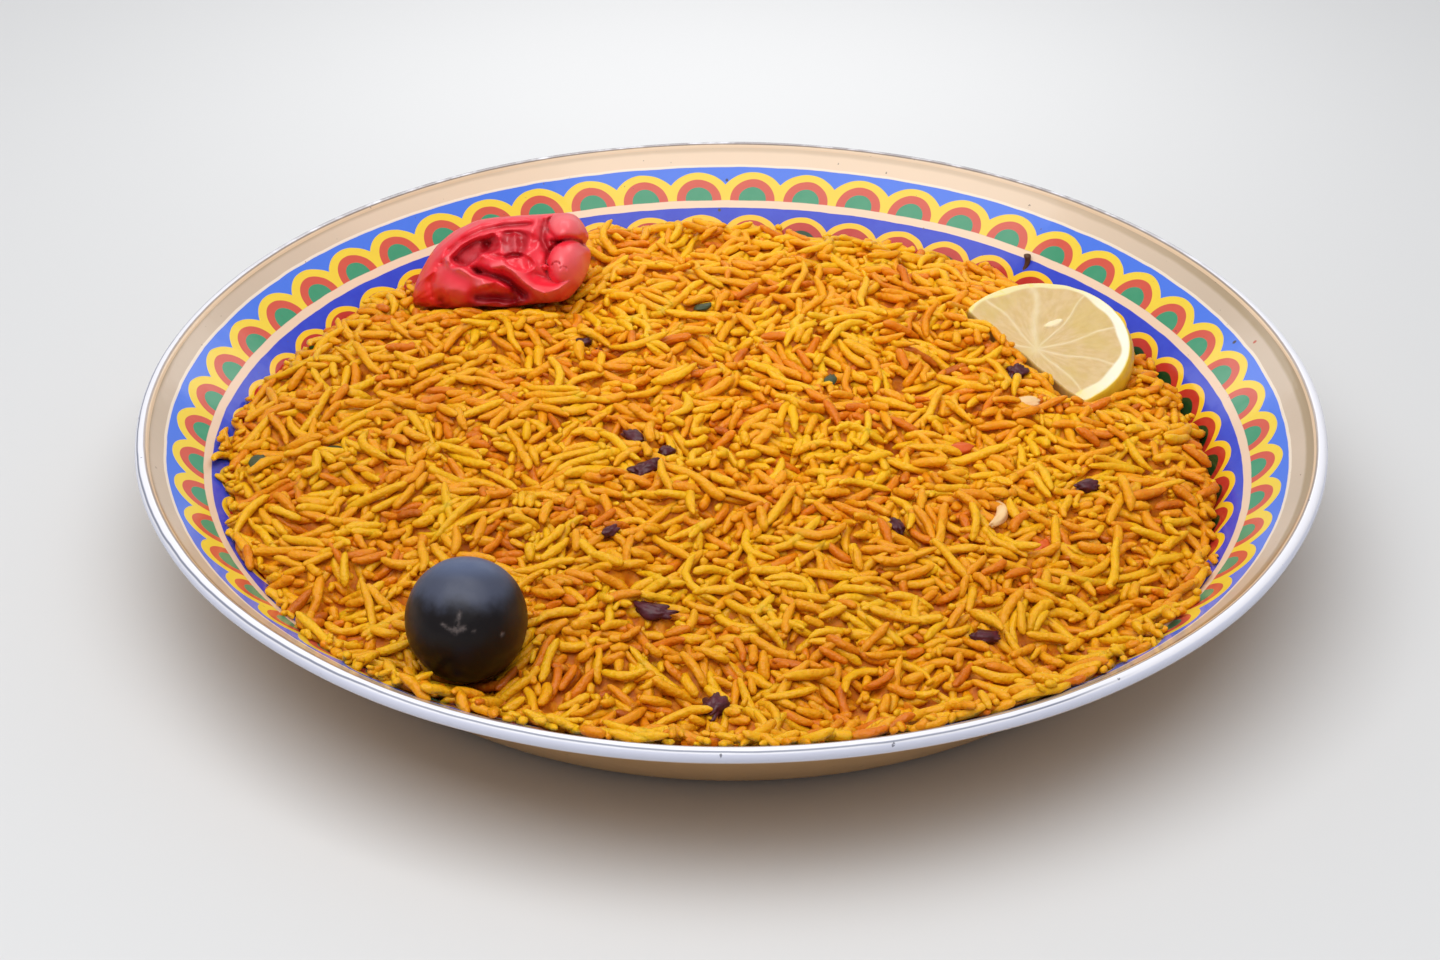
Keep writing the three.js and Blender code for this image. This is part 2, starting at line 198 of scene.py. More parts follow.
def outward(form):
    """The same form with its faces turned outwards, judged by its signed volume."""
    points, quads, tris = form
    fans = np.vstack([quads[:, :3], quads[:, [0, 2, 3]], tris])
    a, b, c = (points[fans[:, i]] for i in range(3))
    if np.einsum("ij,ij->i", a, np.cross(b, c)).sum() < 0:
        return points, quads[:, ::-1], tris[:, ::-1]
    return form


def add_piece(name, form, materials, node, numbers=None, facing=None):
    """Makes one shown piece. numbers: one value a point by name. facing: material a face."""
    points, quads, tris = form
    mesh = bpy.data.meshes.new(name)
    loops = np.concatenate([quads.ravel(), tris.ravel()]).astype(np.int32)
    starts = np.concatenate([np.arange(len(quads)) * 4, len(quads) * 4 + np.arange(len(tris)) * 3])
    mesh.vertices.add(len(points))
    mesh.vertices.foreach_set("co", (points * MM).astype(np.float32).ravel())
    mesh.loops.add(len(loops))
    mesh.loops.foreach_set("vertex_index", loops)
    mesh.polygons.add(len(starts))
    mesh.polygons.foreach_set("loop_start", starts.astype(np.int32))
    mesh.update(calc_edges=True)
    mesh.polygons.foreach_set("use_smooth", np.ones(len(starts), dtype=bool))
    for material in materials:
        mesh.materials.append(material)
    if facing is not None:
        mesh.polygons.foreach_set("material_index", facing.astype(np.int32))
    for label, values in (numbers or {}).items():
        layer = mesh.attributes.new(label, "FLOAT", "POINT")
        layer.data.foreach_set("value", np.asarray(values, dtype=np.float32))
    mesh.validate()
    piece = bpy.data.objects.new(name, mesh)
    bpy.context.scene.collection.objects.link(piece)
    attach(piece, "root")
    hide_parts(node)
    return piece


# Shader arithmetic


def operator(operation, turned=False):
    """A method for a Python operator: one maths node, turned for a wire on the right."""

    def act(self, other):
        values = (other, self) if turned else (self, other)
        return self.math(operation, *values)

    return act


class Wire:
    """A socket that Python arithmetic can be done with."""

    def __init__(self, tree, socket):
        self.tree = tree
        self.socket = socket

    def math(self, operation, *values):
        """One maths node fed with wires or numbers."""
        node = self.tree.nodes.new("ShaderNodeMath")
        node.operation = operation
        for socket, value in zip(node.inputs, values):
            plug(self.tree, socket, value)
        return Wire(self.tree, node.outputs[0])

    __add__, __radd__ = operator("ADD"), operator("ADD", True)
    __sub__, __rsub__ = operator("SUBTRACT"), operator("SUBTRACT", True)
    __mul__, __truediv__ = operator("MULTIPLY"), operator("DIVIDE")
    __pow__ = operator("POWER")

    def __abs__(self):
        return self.math("ABSOLUTE", self)

    def root(self):
        return self.math("SQRT", self)

    def part(self):
        return self.math("FRACT", self)

    def step(self, low, high):
        """0 at low and below, 1 at high and above, smooth between; low may be the larger."""
        node = self.tree.nodes.new("ShaderNodeMapRange")
        node.interpolation_type = "SMOOTHSTEP"
        plug(self.tree, node.inputs["Value"], self)
        turned = low > high
        node.inputs["From Min"].default_value = high if turned else low
        node.inputs["From Max"].default_value = low if turned else high
        node.inputs["To Min"].default_value = 1 if turned else 0
        node.inputs["To Max"].default_value = 0 if turned else 1
        return Wire(self.tree, node.outputs["Result"])


def plug(tree, socket, value):
    """Joins a wire to a socket, or sets the socket to a plain value."""
    if isinstance(value, Wire):
        tree.links.new(value.socket, socket)
    else:
        socket.default_value = value


class Paint:
    """One material: its node tree, its Principled shader and helpers for other nodes."""

    def __init__(self, name, **constants):
        self.material = bpy.data.materials.new(name)
        self.material.use_nodes = True
        self.tree = self.material.node_tree
        self.tree.nodes.clear()
        self.shader = self.tree.nodes.new("ShaderNodeBsdfPrincipled")
        output = self.tree.nodes.new("ShaderNodeOutputMaterial")
        self.tree.links.new(self.shader.outputs[0], output.inputs["Surface"])
        for key, value in constants.items():
            self.shader.inputs[key.replace("_", " ")].default_value = value

    def add(self, kind, settings, values, output=0):
        """Adds any other node by its type, settings and socket values; returns an output."""
        node = self.tree.nodes.new(kind)
        for key, value in settings.items():
            setattr(node, key, value)
        for key, value in values.items():
            plug(self.tree, node.inputs[key], value)
        return Wire(self.tree, node.outputs[output])

    def place(self):
        """Object coordinates in millimetres."""
        raw = self.add("ShaderNodeTexCoord", {}, {}, "Object")
        return self.add("ShaderNodeVectorMath", {"operation": "SCALE"}, {0: raw, "Scale": 1000.0})

    def split(self, vector):
        """The three parts of a vector."""
        node = self.tree.nodes.new("ShaderNodeSeparateXYZ")
        plug(self.tree, node.inputs[0], vector)
        return [Wire(self.tree, socket) for socket in node.outputs]

    def noise(self, vector, size, detail=2.0):
        """Soft noise from 0 to 1 with blotches about size mm wide."""
        values = {"Vector": vector, "Scale": 1.0 / size, "Detail": detail}
        return self.add("ShaderNodeTexNoise", {}, values, 0)

    def number(self, name):
        """A value stored a point in the mesh."""
        return self.add("ShaderNodeAttribute", {"attribute_name": name}, {}, "Fac")

    def blend(self, factor, a, b):
        """Colour a where the factor is 0, colour b where it is 1."""
        values = {0: factor, 6: colour(a), 7: colour(b)}
        return self.add("ShaderNodeMix", {"data_type": "RGBA"}, values, 2)

    def relief(self, height, distance, strength):
        """Bump from a height field; distance in millimetres."""
        values = {"Height": height, "Distance": distance * MM, "Strength": strength}
        return self.add("ShaderNodeBump", {}, values)

    def finish(self, base, place, size, distance, strength, detail=2.0, **wires):
        """Sets the colour and fine bumps about size mm wide; returns the material."""
        bumps = self.relief(self.noise(place, size, detail), distance, strength)
        return self.set(Base_Color=base, Normal=bumps, **wires)

    def set(self, **wires):
        """Plugs wires or values into the shader by its sockets' names; returns the material."""
        for key, value in wires.items():
            plug(self.tree, self.shader.inputs[key.replace("_", " ")], value)
        return self.material


def moist(weight, scale, radius):
    """Settings for light that spreads under a moist skin."""
    return {
        "Subsurface_Weight": weight,
        "Subsurface_Scale": scale,
        "Subsurface_Radius": radius,
    }


def colour(value):
    """Three numbers become a colour with full cover; wires pass through."""
    return (*value, 1.0) if isinstance(value, tuple) and len(value) == 3 else value


# Plate


def straight(start, end, shares, region):
    """Rows of the profile at shares of the way from start to end."""
    return [(lerp(start[0], end[0], t), lerp(start[1], end[1], t), region) for t in shares]


def corner_rows(radius, angles, region):
    """Rows of the profile round the corner between the base and the wall."""
    return [
        (BASE_R + radius * math.sin(a), BASE_CORNER - radius * math.cos(a), region)
        for a in angles
    ]


def plate_profile():
    """Rows of (radius, height, region): 0 outside, 1 bead, 2 inside."""
    rows = [(r, 0.0, 0) for r in np.linspace(4, BASE_R, 14)]
    rows += corner_rows(BASE_CORNER, np.linspace(0, WALL_ANGLE, 9)[1:], 0)
    bend = 0.5 * (WALL_ANGLE + math.atan(FLANGE_SLOPE))
    outer_knee = (KNEE_R + WALL * math.sin(bend), KNEE_Z - WALL * math.cos(bend))
    rows += straight(rows[-1], outer_knee, (0.25, 0.5, 0.75, 0.93), 0)
    arc = np.radians(np.linspace(-145, 150, 33))
    bead = [(BEAD_R + BEAD * math.cos(a), BEAD_Z + BEAD * math.sin(a), 1) for a in arc]
    rows += straight(outer_knee, bead[0], (0.07, 0.3, 0.55, 0.8, 0.95), 0)
    rows += bead
    rows += straight(bead[-1], (KNEE_R, KNEE_Z), (0.05, 0.18, 0.34, 0.5, 0.66, 0.82, 0.95), 2)
    inner = BASE_CORNER - WALL
    foot = BASE_R + inner * math.sin(WALL_ANGLE)
    for t in (0.06, 0.35, 0.7):
        r = lerp(KNEE_R, foot, t)
        rows.append((r, float(plate_inside(r)), 2))
    rows += corner_rows(inner, np.linspace(WALL_ANGLE, 0, 9), 2)
    rows += [(r, WALL, 2) for r in np.linspace(BASE_R, 4, 14)[1:]]
    return np.array(rows)


def make_plate():
    """The turned profile, with waves of a few tenths of a millimetre in the pressed sheet."""
    profile = plate_profile()
    around = 540
    angle = np.arange(around) * TAU / around
    r = profile[:, 0][:, None] + 0 * angle
    z = profile[:, 1][:, None] + 0 * angle
    loose = smooth(r, 118, 156)
    wave = 0.22 * np.sin(2 * angle + 0.8) + 0.12 * np.sin(5 * angle + 2.1)
    wave = wave + 0.06 * np.sin(13 * angle + 0.3)
    z = z + loose * wave
    r = r + loose * (0.14 * np.sin(3 * angle + 1.9) + 0.05 * np.sin(17 * angle))
    rings = np.stack([r * np.cos(angle), r * np.sin(angle), z], -1)
    form = closed_form(rings, np.array([0, 0, 0.0]), np.array([0, 0, WALL]))
    region = profile[1:, 2].astype(int)
    facing = np.concatenate([np.repeat(region, around), np.zeros(around), np.full(around, 2)])
    materials = [outside_enamel(), bead_enamel(), scalloped_enamel()]
    add_piece("plate_enamel", outward(form), materials, "plate", facing=facing)


def outside_enamel():
    """Tan enamel of the outside and underside, slightly uneven, with small darker patches of wear.
    """
    paint = Paint("outside enamel", Roughness=0.22, IOR=1.5)
    place = paint.place()
    blotch = paint.noise(place, 30)
    base = paint.blend(blotch, (0.70, 0.43, 0.20), (0.62, 0.36, 0.155))
    darker_blotches = paint.noise(place, 3, 4).step(0.66, 0.74)
    base = paint.blend(darker_blotches * 0.35, base, (0.42, 0.25, 0.12))
    return paint.finish(base, place, 6, 0.25, 0.5)


def bead_enamel():
    """White enamel of the rolled rim with a painted reflection in lavender on its outer flank, a
    dark blue-grey line on its outer crest that is partly a painted dark reflection and partly real
    wear, a brown line where it meets the flange as painted shade in that groove, and grey-brown
    blotches on its top on the far side."""
    paint = Paint("rim enamel", Roughness=0.16, IOR=1.5)
    place = paint.place()
    x, y, z = paint.split(place)
    r = (x * x + y * y).root()
    turn = (z - BEAD_Z).math("ARCTAN2", z - BEAD_Z, r - BEAD_R) * (180 / math.pi)
    shaky = paint.noise(place, 14) * 14 - 7
    # A dark blue-grey line along the bead's outer crest, left out on the right side: partly a
    # painted dark reflection between the bright top and the flank, partly real wear.
    seam_and_dark_reflection = (abs(turn - 57 + shaky)).step(12, 3) * x.step(100, 75)
    # A brown line where the bead meets the flange: painted shade in that groove.
    joint_groove_shade = (abs(turn - 112 + shaky * 0.4)).step(13, 4)
    # Painted reflection: the outer flank of the bead is lavender and its top white, as a glossy tube
    # shows the room and the lamp.
    flank = turn.step(48, 30)
    base = paint.blend(flank, (0.80, 0.79, 0.84), (0.66, 0.67, 0.79))
    under = turn.step(-20, -60)
    base = paint.blend(under, base, (0.66, 0.46, 0.27))
    base = paint.blend(turn.step(112, 120), base, (0.72, 0.53, 0.35))
    base = paint.blend(joint_groove_shade * 0.85, base, (0.24, 0.17, 0.12))
    base = paint.blend(seam_and_dark_reflection * 0.9, base, (0.16, 0.175, 0.24))
    # Grey-brown blotches on the bead's top, on the far side only.
    darker_blotches = paint.noise(place, 6, 3).step(0.3, 0.55) * turn.step(52, 64) * turn.step(124, 112)
    base = paint.blend(darker_blotches * y.step(50, 130) * 0.7, base, (0.19, 0.15, 0.13))
    chips = paint.noise(place, 2.6, 3).step(0.72, 0.76)
    base = paint.blend(chips * 0.8, base, (0.10, 0.10, 0.13))
    return paint.finish(base, place, 5, 0.2, 0.4)


def scalloped_enamel():
    """Beige rim and a stripe, both painted lighter on the far side as painted light, a brown line at
    the rim's outer edge as painted shade, blue ground and two rows of scallops, each of three nested
    circles.

    A point's place is its radius and its angle. u is the arc distance to the middle of the
    nearest scallop and v the distance up the slope from the row's foot."""
    paint = Paint("scalloped enamel", Roughness=0.16, IOR=1.45, Specular_IOR_Level=0.35)
    place = paint.place()
    x, y = paint.split(place)[:2]
    x = x + 0.8
    wobble = paint.noise(place, 9) - 0.5
    r = (x * x + y * y).root() + 0.5 + wobble * 0.5
    angle = y.math("ARCTAN2", y, x)
    count = (FIRST_SCALLOP + TAU - angle) * (SCALLOPS / TAU) + 0.5
    across = (count.part() - 0.5 + wobble * 0.03) * (TAU / SCALLOPS)
    beige = paint.blend(paint.noise(place, 28, 2), (0.60, 0.48, 0.37), (0.51, 0.41, 0.31))
    # Painted light: the beige rim is lighter on the far side.
    beige = paint.blend(y.step(60, 150) * 0.75, beige, (0.84, 0.65, 0.47))
    # Painted light: the stripe between the rows is lighter on the far side.
    stripe = paint.blend(y.step(20, 150), (0.76, 0.56, 0.41), (0.82, 0.61, 0.44))
    density = paint.noise(place, 4, 3)
    paler = r.step(140, 142)
    blue = paint.blend(paler, (0.030, 0.042, 0.50), (0.07, 0.18, 0.72))
    blue = paint.blend(density * 0.25, blue, (0.09, 0.20, 0.80))
    yellow = paint.blend(paler, (0.86, 0.53, 0.012), (0.83, 0.62, 0.055))
    yellow = paint.blend(density * 0.5, yellow, (0.76, 0.50, 0.05))
    red = paint.blend(paler, (0.46, 0.012, 0.006), (0.60, 0.085, 0.055))
    red = paint.blend(density * 0.3, red, (0.62, 0.16, 0.10))
    green = paint.blend(paler, (0.008, 0.05, 0.012), (0.04, 0.27, 0.14))
    green = paint.blend(density * 0.4 * paler, green, (0.12, 0.36, 0.22))
    base = paint.blend(r.step(151.5, 151.7), blue, beige)
    thin = (abs(r - 151.8)).step(0.42, 0.3)
    base = paint.blend(thin * 0.8, base, (0.84, 0.73, 0.60))
    # Painted shade: a brown line at the flange's outer edge where it meets the bead, stronger on the
    # near side and the sides than on the far side.
    edge = r.step(155.2, 156.2)
    base = paint.blend(edge * (0.75 - y.step(40, 130) * 0.45), base, (0.32, 0.23, 0.12))

    def row(base, foot, mask, circles):
        u = across * r
        v = (r - foot) * SLANT
        for middle, radius, ink in circles:
            gap = (u * u + (v - middle) ** 2).root()
            base = paint.blend(gap.step(radius + 0.1, radius - 0.1) * mask, base, ink)
        return base

    outer = r.step(142.1, 142.3)
    inner = r.step(140.3, 140.1)
    arches = [(-1.0, 10.7, yellow), (0.36, 6.95, red), (0.48, 4.2, green)]
    base = row(base, 142.2, outer, arches)
    arches = [(-9.7, 10.1, yellow), (-9.8, 8.4, red), (-9.9, 6.2, green)]
    base = row(base, 137.9, inner, arches)
    between = r.step(140.1, 140.3) * r.step(142.3, 142.1)
    base = paint.blend(between, base, stripe)
    scuff = paint.noise(place, 1.6, 3).step(0.735, 0.76)
    base = paint.blend(scuff * 0.7, base, (0.12, 0.09, 0.08))
    for cx, cy, size, ink in CHIPS:
        gap = ((x - cx) ** 2 + (y - cy) ** 2).root() + wobble * 0.8
        base = paint.blend(gap.step(size + 0.15, size - 0.15), base, ink)
    return paint.finish(base, place, 7, 0.22, 0.5)


# Chips in the enamel: x, y, radius and what shows there
CHIPS = [
    (-0.8, 147.3, 0.45, (0.05, 0.04, 0.05)),
    (-3.1, 139.0, 0.4, (0.06, 0.04, 0.05)),
    (143.4, 43.6, 0.55, (0.05, 0.04, 0.05)),
    (148.3, 39.1, 0.5, (0.45, 0.10, 0.06)),
]


# Pepper


# Folds of the pepper as seen from the near side: height, width and a bent line of places,
# in mm across from its left end and mm up its face
PEPPER_FOLDS = [
    (1.2, 1.8, [(8.7, 12.4), (10.4, 16.9), (14.9, 20.4), (20.6, 23.8), (26.9, 25.5), (35.7, 26.4)]),
    (-3.2, 1.3, [(9.3, 12.6), (11.3, 16.4), (15.3, 19.3), (21.1, 22.0), (27.7, 23.5), (35.5, 24.0)]),
    (2.2, 1.1, [(11.6, 14.3), (14.9, 17.7), (20.6, 20.6), (24.6, 21.3), (26.4, 20.0)]),
    (1.2, 1.0, [(26.6, 20.4), (27.5, 15.6)]),
    (1.0, 1.0, [(30.9, 20.8), (31.5, 15.1)]),
    (-1.2, 1.2, [(28.7, 18.6), (29.0, 18.2)]),
    (-1.2, 1.1, [(32.9, 18.4), (33.1, 18.0)]),
    (-1.0, 1.1, [(23.3, 18.2), (23.8, 17.4)]),
    (1.4, 1.1, [(21.5, 14.2), (26.5, 15.4), (31.0, 13.6)]),
    (2.8, 1.3, [(10.9, 13.6), (14.9, 10.9), (18.9, 8.7), (22.4, 7.1)]),
    (-2.0, 0.9, [(12.9, 14.0), (17.1, 11.4), (20.6, 9.9)]),
    (1.4, 2.2, [(6.9, 17.8), (4.2, 13.3), (1.1, 7.5)]),
    (-1.6, 1.4, [(7.9, 11.0), (6.0, 7.1), (6.4, 3.0)]),
    (1.2, 1.0, [(0.8, 6.2), (4.5, 8.6), (7.3, 10.2)]),
    (1.8, 3.6, [(12.4, 4.9), (17.0, 4.0)]),
    (-3.0, 1.6, [(9.3, 1.6), (10.2, 0.2)]),
    (-5.2, 1.5, [(20.6, 9.7), (24.6, 8.9), (29.5, 6.7), (34.0, 3.1)]),
    (3.4, 1.5, [(25.2, 10.6), (28.6, 11.3), (31.3, 9.7), (34.0, 6.9), (37.0, 4.7), (40.4, 3.3)]),
    (2.8, 1.6, [(40.4, 3.3), (44.2, 4.7), (47.5, 7.3)]),
    (2.6, 1.3, [(21.5, 5.3), (26.4, 6.9), (29.5, 4.9)]),
    (-4.5, 1.8, [(20.6, 2.4), (26.0, 2.2), (31.0, 1.8)]),
    (2.0, 1.5, [(37.3, 25.5), (35.9, 20.4), (35.1, 15.1), (35.7, 10.7)]),
    (-3.6, 1.6, [(39.3, 25.5), (39.0, 19.1), (40.6, 16.0)]),
    (-1.8, 1.7, [(37.8, 8.9), (42.4, 7.3), (46.8, 8.9)]),
    (-2.4, 0.9, [(42.0, 18.4), (47.0, 18.8), (53.0, 18.6)]),
]
# Hollow parts of its face and its two lobes: depth or height, middle, radii, turn
PEPPER_PANS = [
    (-2.8, 18.0, 15.3, 6.6, 3.0, 0.6),
    (-3.0, 29.3, 17.6, 8.2, 4.4, 0.1),
    (-2.0, 32.6, 12.4, 4.6, 2.6, -0.3),
]
PEPPER_LOBES = [
    (5.6, 46.4, 23.6, 6.0, 5.4, 0.0),
    (5.2, 47.4, 11.6, 6.8, 7.4, 0.0),
    (2.0, 43.4, 11.3, 1.2, 0.9, 0.3),
    (1.6, 40.2, 11.0, 1.0, 0.8, 0.0),
    (1.5, 45.6, 10.2, 0.9, 0.7, 0.0),
]


def pepper_half(s):
    """Half height along the pepper: a blunt rise on the left, a round end on the right."""
    left = (1 - (1 - np.minimum(s / 0.6, 1)) ** 2.2) ** 0.62
    right = np.sqrt(np.maximum(1 - (np.maximum(s - 0.84, 0) / 0.16) ** 2, 0))
    return PEPPER_HALF * left * right


def fold_field(px, py):
    """Relief of the pepper's face: peaked bells of the distance to bent lines, smooth-edged
    hollows, and lobes that stand out like parts of balls with a groove round them."""
    total = np.zeros(px.shape)
    for height, width, path in PEPPER_FOLDS:
        nearest = np.full(total.shape, np.inf)
        for line in zip(path, path[1:]):
            nearest = np.minimum(nearest, past(px, py, line))
        total += height * np.exp(-((nearest / width) ** 1.35))
    for kind, shapes in (("pan", PEPPER_PANS), ("lobe", PEPPER_LOBES)):
        for height, cx, cy, rx, ry, turn in shapes:
            c, s = math.cos(turn), math.sin(turn)
            u = ((px - cx) * c + (py - cy) * s) / rx
            v = ((py - cy) * c - (px - cx) * s) / ry
            gap = u * u + v * v
            if kind == "pan":
                total += height * smooth(-gap, -1.25, -0.55)
            else:
                groove = np.exp(-(((gap - 1.05) / 0.22) ** 2)) * smooth(v, -0.7, 0.1)
                total -= 0.5 * height * groove
                ball = height * np.sqrt(np.maximum(1 - gap, 0))
                total = np.where(gap < 1, np.maximum(total, ball - 0.4 * height), total)
    return total


def pepper_form():
    """The wilted pepper: rings round a bent middle line, its near face pushed in and out
    by the folds along the line to the near side."""
    rows, around = 230, 280
    t = (np.arange(rows) + 0.5) / rows
    s = (0.5 - 0.5 * np.cos(np.pi * t))[:, None]
    turn = (1.5 * np.pi - TAU * np.arange(around) / around)[None, :]
    half = pepper_half(s)
    tube = (s * PEPPER_LENGTH, 11 * np.cos(turn), 11 * np.sin(turn))
    on_skin = np.stack(np.broadcast_arrays(*tube), -1)
    uneven = 0.22 * ripple(on_skin, 7, 5) + 0.1 * ripple(on_skin, 3, 6)
    y = 81 - 6 * smooth(s, 0.1, 0.6) + 3 * np.maximum(s - 0.85, 0) / 0.15
    z = PEPPER_FOOT + PEPPER_LIFT * s + pepper_half(np.minimum(s, 0.84))
    x = PEPPER_LEFT + PEPPER_LENGTH * s + 0 * turn
    y = y - (half * lerp(1.6, 1.3, s) + uneven) * np.cos(turn)
    rise = np.where(np.sin(turn) < 0, 1 - 0.28 * smooth(s, 0.15, 0.45), 1.0)
    z = z + (half + uneven) * np.sin(turn) * rise
    near, up = SIGHT_COS, SIGHT_SIN
    face = smooth(near * np.cos(turn) + up * np.sin(turn), 0.0, 0.5)
    fold = fold_field(x + 93.5, (z - 30) * near + (y - 65) * up - 3.2) * face
    fold = 1.25 * fold * np.minimum(1, 1.6 * half / PEPPER_HALF)
    notch = np.exp(-((((z - 30) * near + (y - 65) * up - 21.8) / 1.4) ** 2))
    x = x - 1.4 * notch * smooth(s, 0.93, 1.0)
    rings = np.stack([x, y - near * fold, z + up * fold], -1)
    tip_height = PEPPER_FOOT + PEPPER_LIFT + PEPPER_HALF
    left = np.array([PEPPER_LEFT, 81, PEPPER_FOOT])
    right = np.array([PEPPER_LEFT + PEPPER_LENGTH, 78, tip_height])
    return outward(closed_form(rings, left, right)), np.append(fold.ravel(), [0, 0])


def pepper_skin():
    """Waxy red skin, with a painted pink highlight on the ridges, painted shade in deep red in the
    creases, paler pink patches in the flatter and hollow parts that are partly dried skin and partly
    painted sheen, and orange at the tip.
    """
    paint = Paint(
        "pepper skin",
        Roughness=0.36,
        IOR=1.48,
        Coat_Weight=0.2,
        Coat_Roughness=0.25,
    )
    place = paint.place()
    fold = paint.number("fold")
    blotch = paint.noise(place, 9)
    base = paint.blend(blotch, (0.81, 0.014, 0.034), (0.87, 0.032, 0.056))
    # Painted shade: deep red in the creases.
    base = paint.blend(fold.step(-0.9, -3.4) * 0.9, base, (0.40, 0.003, 0.010))
    # Painted highlight: pink on the ridges.
    base = paint.blend(fold.step(0.8, 2.8) * 0.5, base, (0.94, 0.18, 0.19))
    # Paler pink patches in the flatter and hollow parts: partly dried skin, partly painted sheen.
    dryness_and_sheen = paint.noise(place, 4.5, 3).step(0.42, 0.7)
    base = paint.blend(dryness_and_sheen * fold.step(0.4, -0.8) * 0.3, base, (0.80, 0.17, 0.19))
    x, _, z = paint.split(place)
    ember = x.step(-74, -88) * z.step(46, 36)
    base = paint.blend(ember * 0.8, base, (0.78, 0.020, 0.008))
    return paint.finish(base, place, 2.2, 0.12, 0.5, detail=3)


# Lemon slice


def lemon_world(local):
    """Turns points of the slice about X by its tilt, then about Z by its yaw, and places it."""
    x, y, z = local[..., 0], local[..., 1], local[..., 2]
    ct, st = math.cos(LEMON_TILT), math.sin(LEMON_TILT)
    cy, sy = math.cos(LEMON_YAW), math.sin(LEMON_YAW)
    y, z = y * ct - z * st, y * st + z * ct
    return LEMON_CENTRE + np.stack([x * cy - y * sy, x * sy + y * cy, z], -1)


MEMBRANES = np.radians([103, 134, 66, 31, -4, -40, 170])


def lemon_fields(x, y):
    """Membrane, pith and pip shares at a place on the cut face."""
    r_disc = np.hypot(x, y)
    dx, dy = x + HEART_X, y + HEART_Y
    r = np.hypot(dx, dy)
    angle = np.arctan2(dy, dx)
    membrane = np.zeros(x.shape)
    for k, way in enumerate(MEMBRANES):
        off = r * np.sin(angle - way - 0.05 * np.sin(r / 4 + k))
        ahead = np.cos(angle - way) > 0
        width = 1.1 if k == 0 else 0.35
        membrane = np.maximum(membrane, ahead * np.exp(-((off / width) ** 2)))
    core = np.exp(-((r / 2.2) ** 2))
    ring = 22.7 - 0.8 * np.cos(np.arctan2(y, x) + 0.9)
    ring = ring + 0.5 * np.sin(5 * angle + 1) + 0.35 * np.sin(11 * angle)
    pith = smooth(r_disc, ring - 0.4, ring + 0.4)
    ca, sa = math.cos(0.7), math.sin(0.7)
    px, py = (x - 2.2) * ca + (y - 9.2) * sa, -(x - 2.2) * sa + (y - 9.2) * ca
    pip = smooth(1 - (px / 3.4) ** 2 - (py / 1.25) ** 2, 0, 0.5)
    return np.maximum(membrane, core) * (1 - pith), pith, pip


def lemon_form():
    """A disc with one straight cut: rings of its outline from the cut face round the rind."""
    arc = np.pi - math.acos(LEMON_CUT / LEMON_RADIUS)
    angles = LEMON_CUT_SIDE + math.pi + arc * np.linspace(-1, 1, 240)
    loop = LEMON_RADIUS * np.stack([np.cos(angles), np.sin(angles)], -1)
    chord = lerp(loop[-1], loop[0], np.linspace(0, 1, 82)[1:-1, None])
    normal = np.array([math.cos(LEMON_CUT_SIDE), math.sin(LEMON_CUT_SIDE)])
    chord = chord + normal * (0.35 * ripple(chord, 9, 31))[:, None]
    loop = np.vstack([loop, chord])
    on_arc = np.concatenate([np.ones(240), np.zeros(80)])
    for _ in range(10):
        loop = (np.roll(loop, 1, 0) + 2 * loop + np.roll(loop, -1, 0)) / 4
        on_arc = (np.roll(on_arc, 1) + 2 * on_arc + np.roll(on_arc, -1)) / 4
    middle = -0.35 * LEMON_RADIUS * normal
    rings, side, depth_rows = [], [], []
    steps = [(f, 0.0, 0) for f in np.linspace(0.02, 0.975, 60)]
    steps += [(0.988, 0.12, 0.4), (0.996, 0.4, 1), (1.0, 0.9, 1)]
    steps += [(1.0, d, 1) for d in np.linspace(1.5, 7.4, 12)]
    steps += [(0.996, 8.0, 1), (0.985, 8.4, 1)]
    steps += [(f, LEMON_THICKNESS, 1) for f in (0.96, 0.6, 0.2)]
    for scale, depth, aside in steps:
        bulge = 1 + 0.05 * np.sin(np.pi * min(depth / LEMON_THICKNESS, 1)) * on_arc
        flat = middle + (loop * bulge[:, None] - middle) * scale
        rings.append(np.concatenate([flat, np.full((len(loop), 1), -depth)], -1))
        side.append(np.full(len(loop), aside))
        depth_rows.append(on_arc)
    rings = np.array(rings)
    side, arcs = np.concatenate(side), np.concatenate(depth_rows)
    x, y = rings[..., 0], rings[..., 1]
    membrane, pith, pip = lemon_fields(x, y)
    top = (rings[..., 2] > -0.5) * 1.0
    r = np.hypot(x + HEART_X, y + HEART_Y)
    angle = np.arctan2(y + HEART_Y, x + HEART_X)
    pulp = 0.025 * np.sin(angle * 46 + 2 * np.sin(r / 2.6)) * smooth(r, 2, 9)
    sag = -0.5 * smooth(r, 2, 12) * smooth(np.hypot(x, y), 24.5, 18)
    relief = pulp * (1 - pith) + sag * 0.6 + 0.16 * membrane + 0.6 * pip + 0.12 * ripple(rings, 5, 3)
    rings[..., 2] += top * relief
    form = closed_form(
        lemon_world(rings),
        lemon_world(np.array([*middle, -0.2])),
        lemon_world(np.array([*middle, -LEMON_THICKNESS])),
    )
    flat = rings.reshape(-1, 3)
    numbers = {
        "flat_x": np.append(flat[:, 0], [middle[0]] * 2),
        "flat_y": np.append(flat[:, 1], [middle[1]] * 2),
        "side": np.append(side, [0, 1]),
        "rind": np.append(arcs, [0, 0]),
        "membrane": np.append(membrane.ravel(), [0, 0]),
        "pith": np.append(pith.ravel(), [0, 0]),
        "pip": np.append(pip.ravel(), [0, 0]),
    }
    return outward(form), numbers


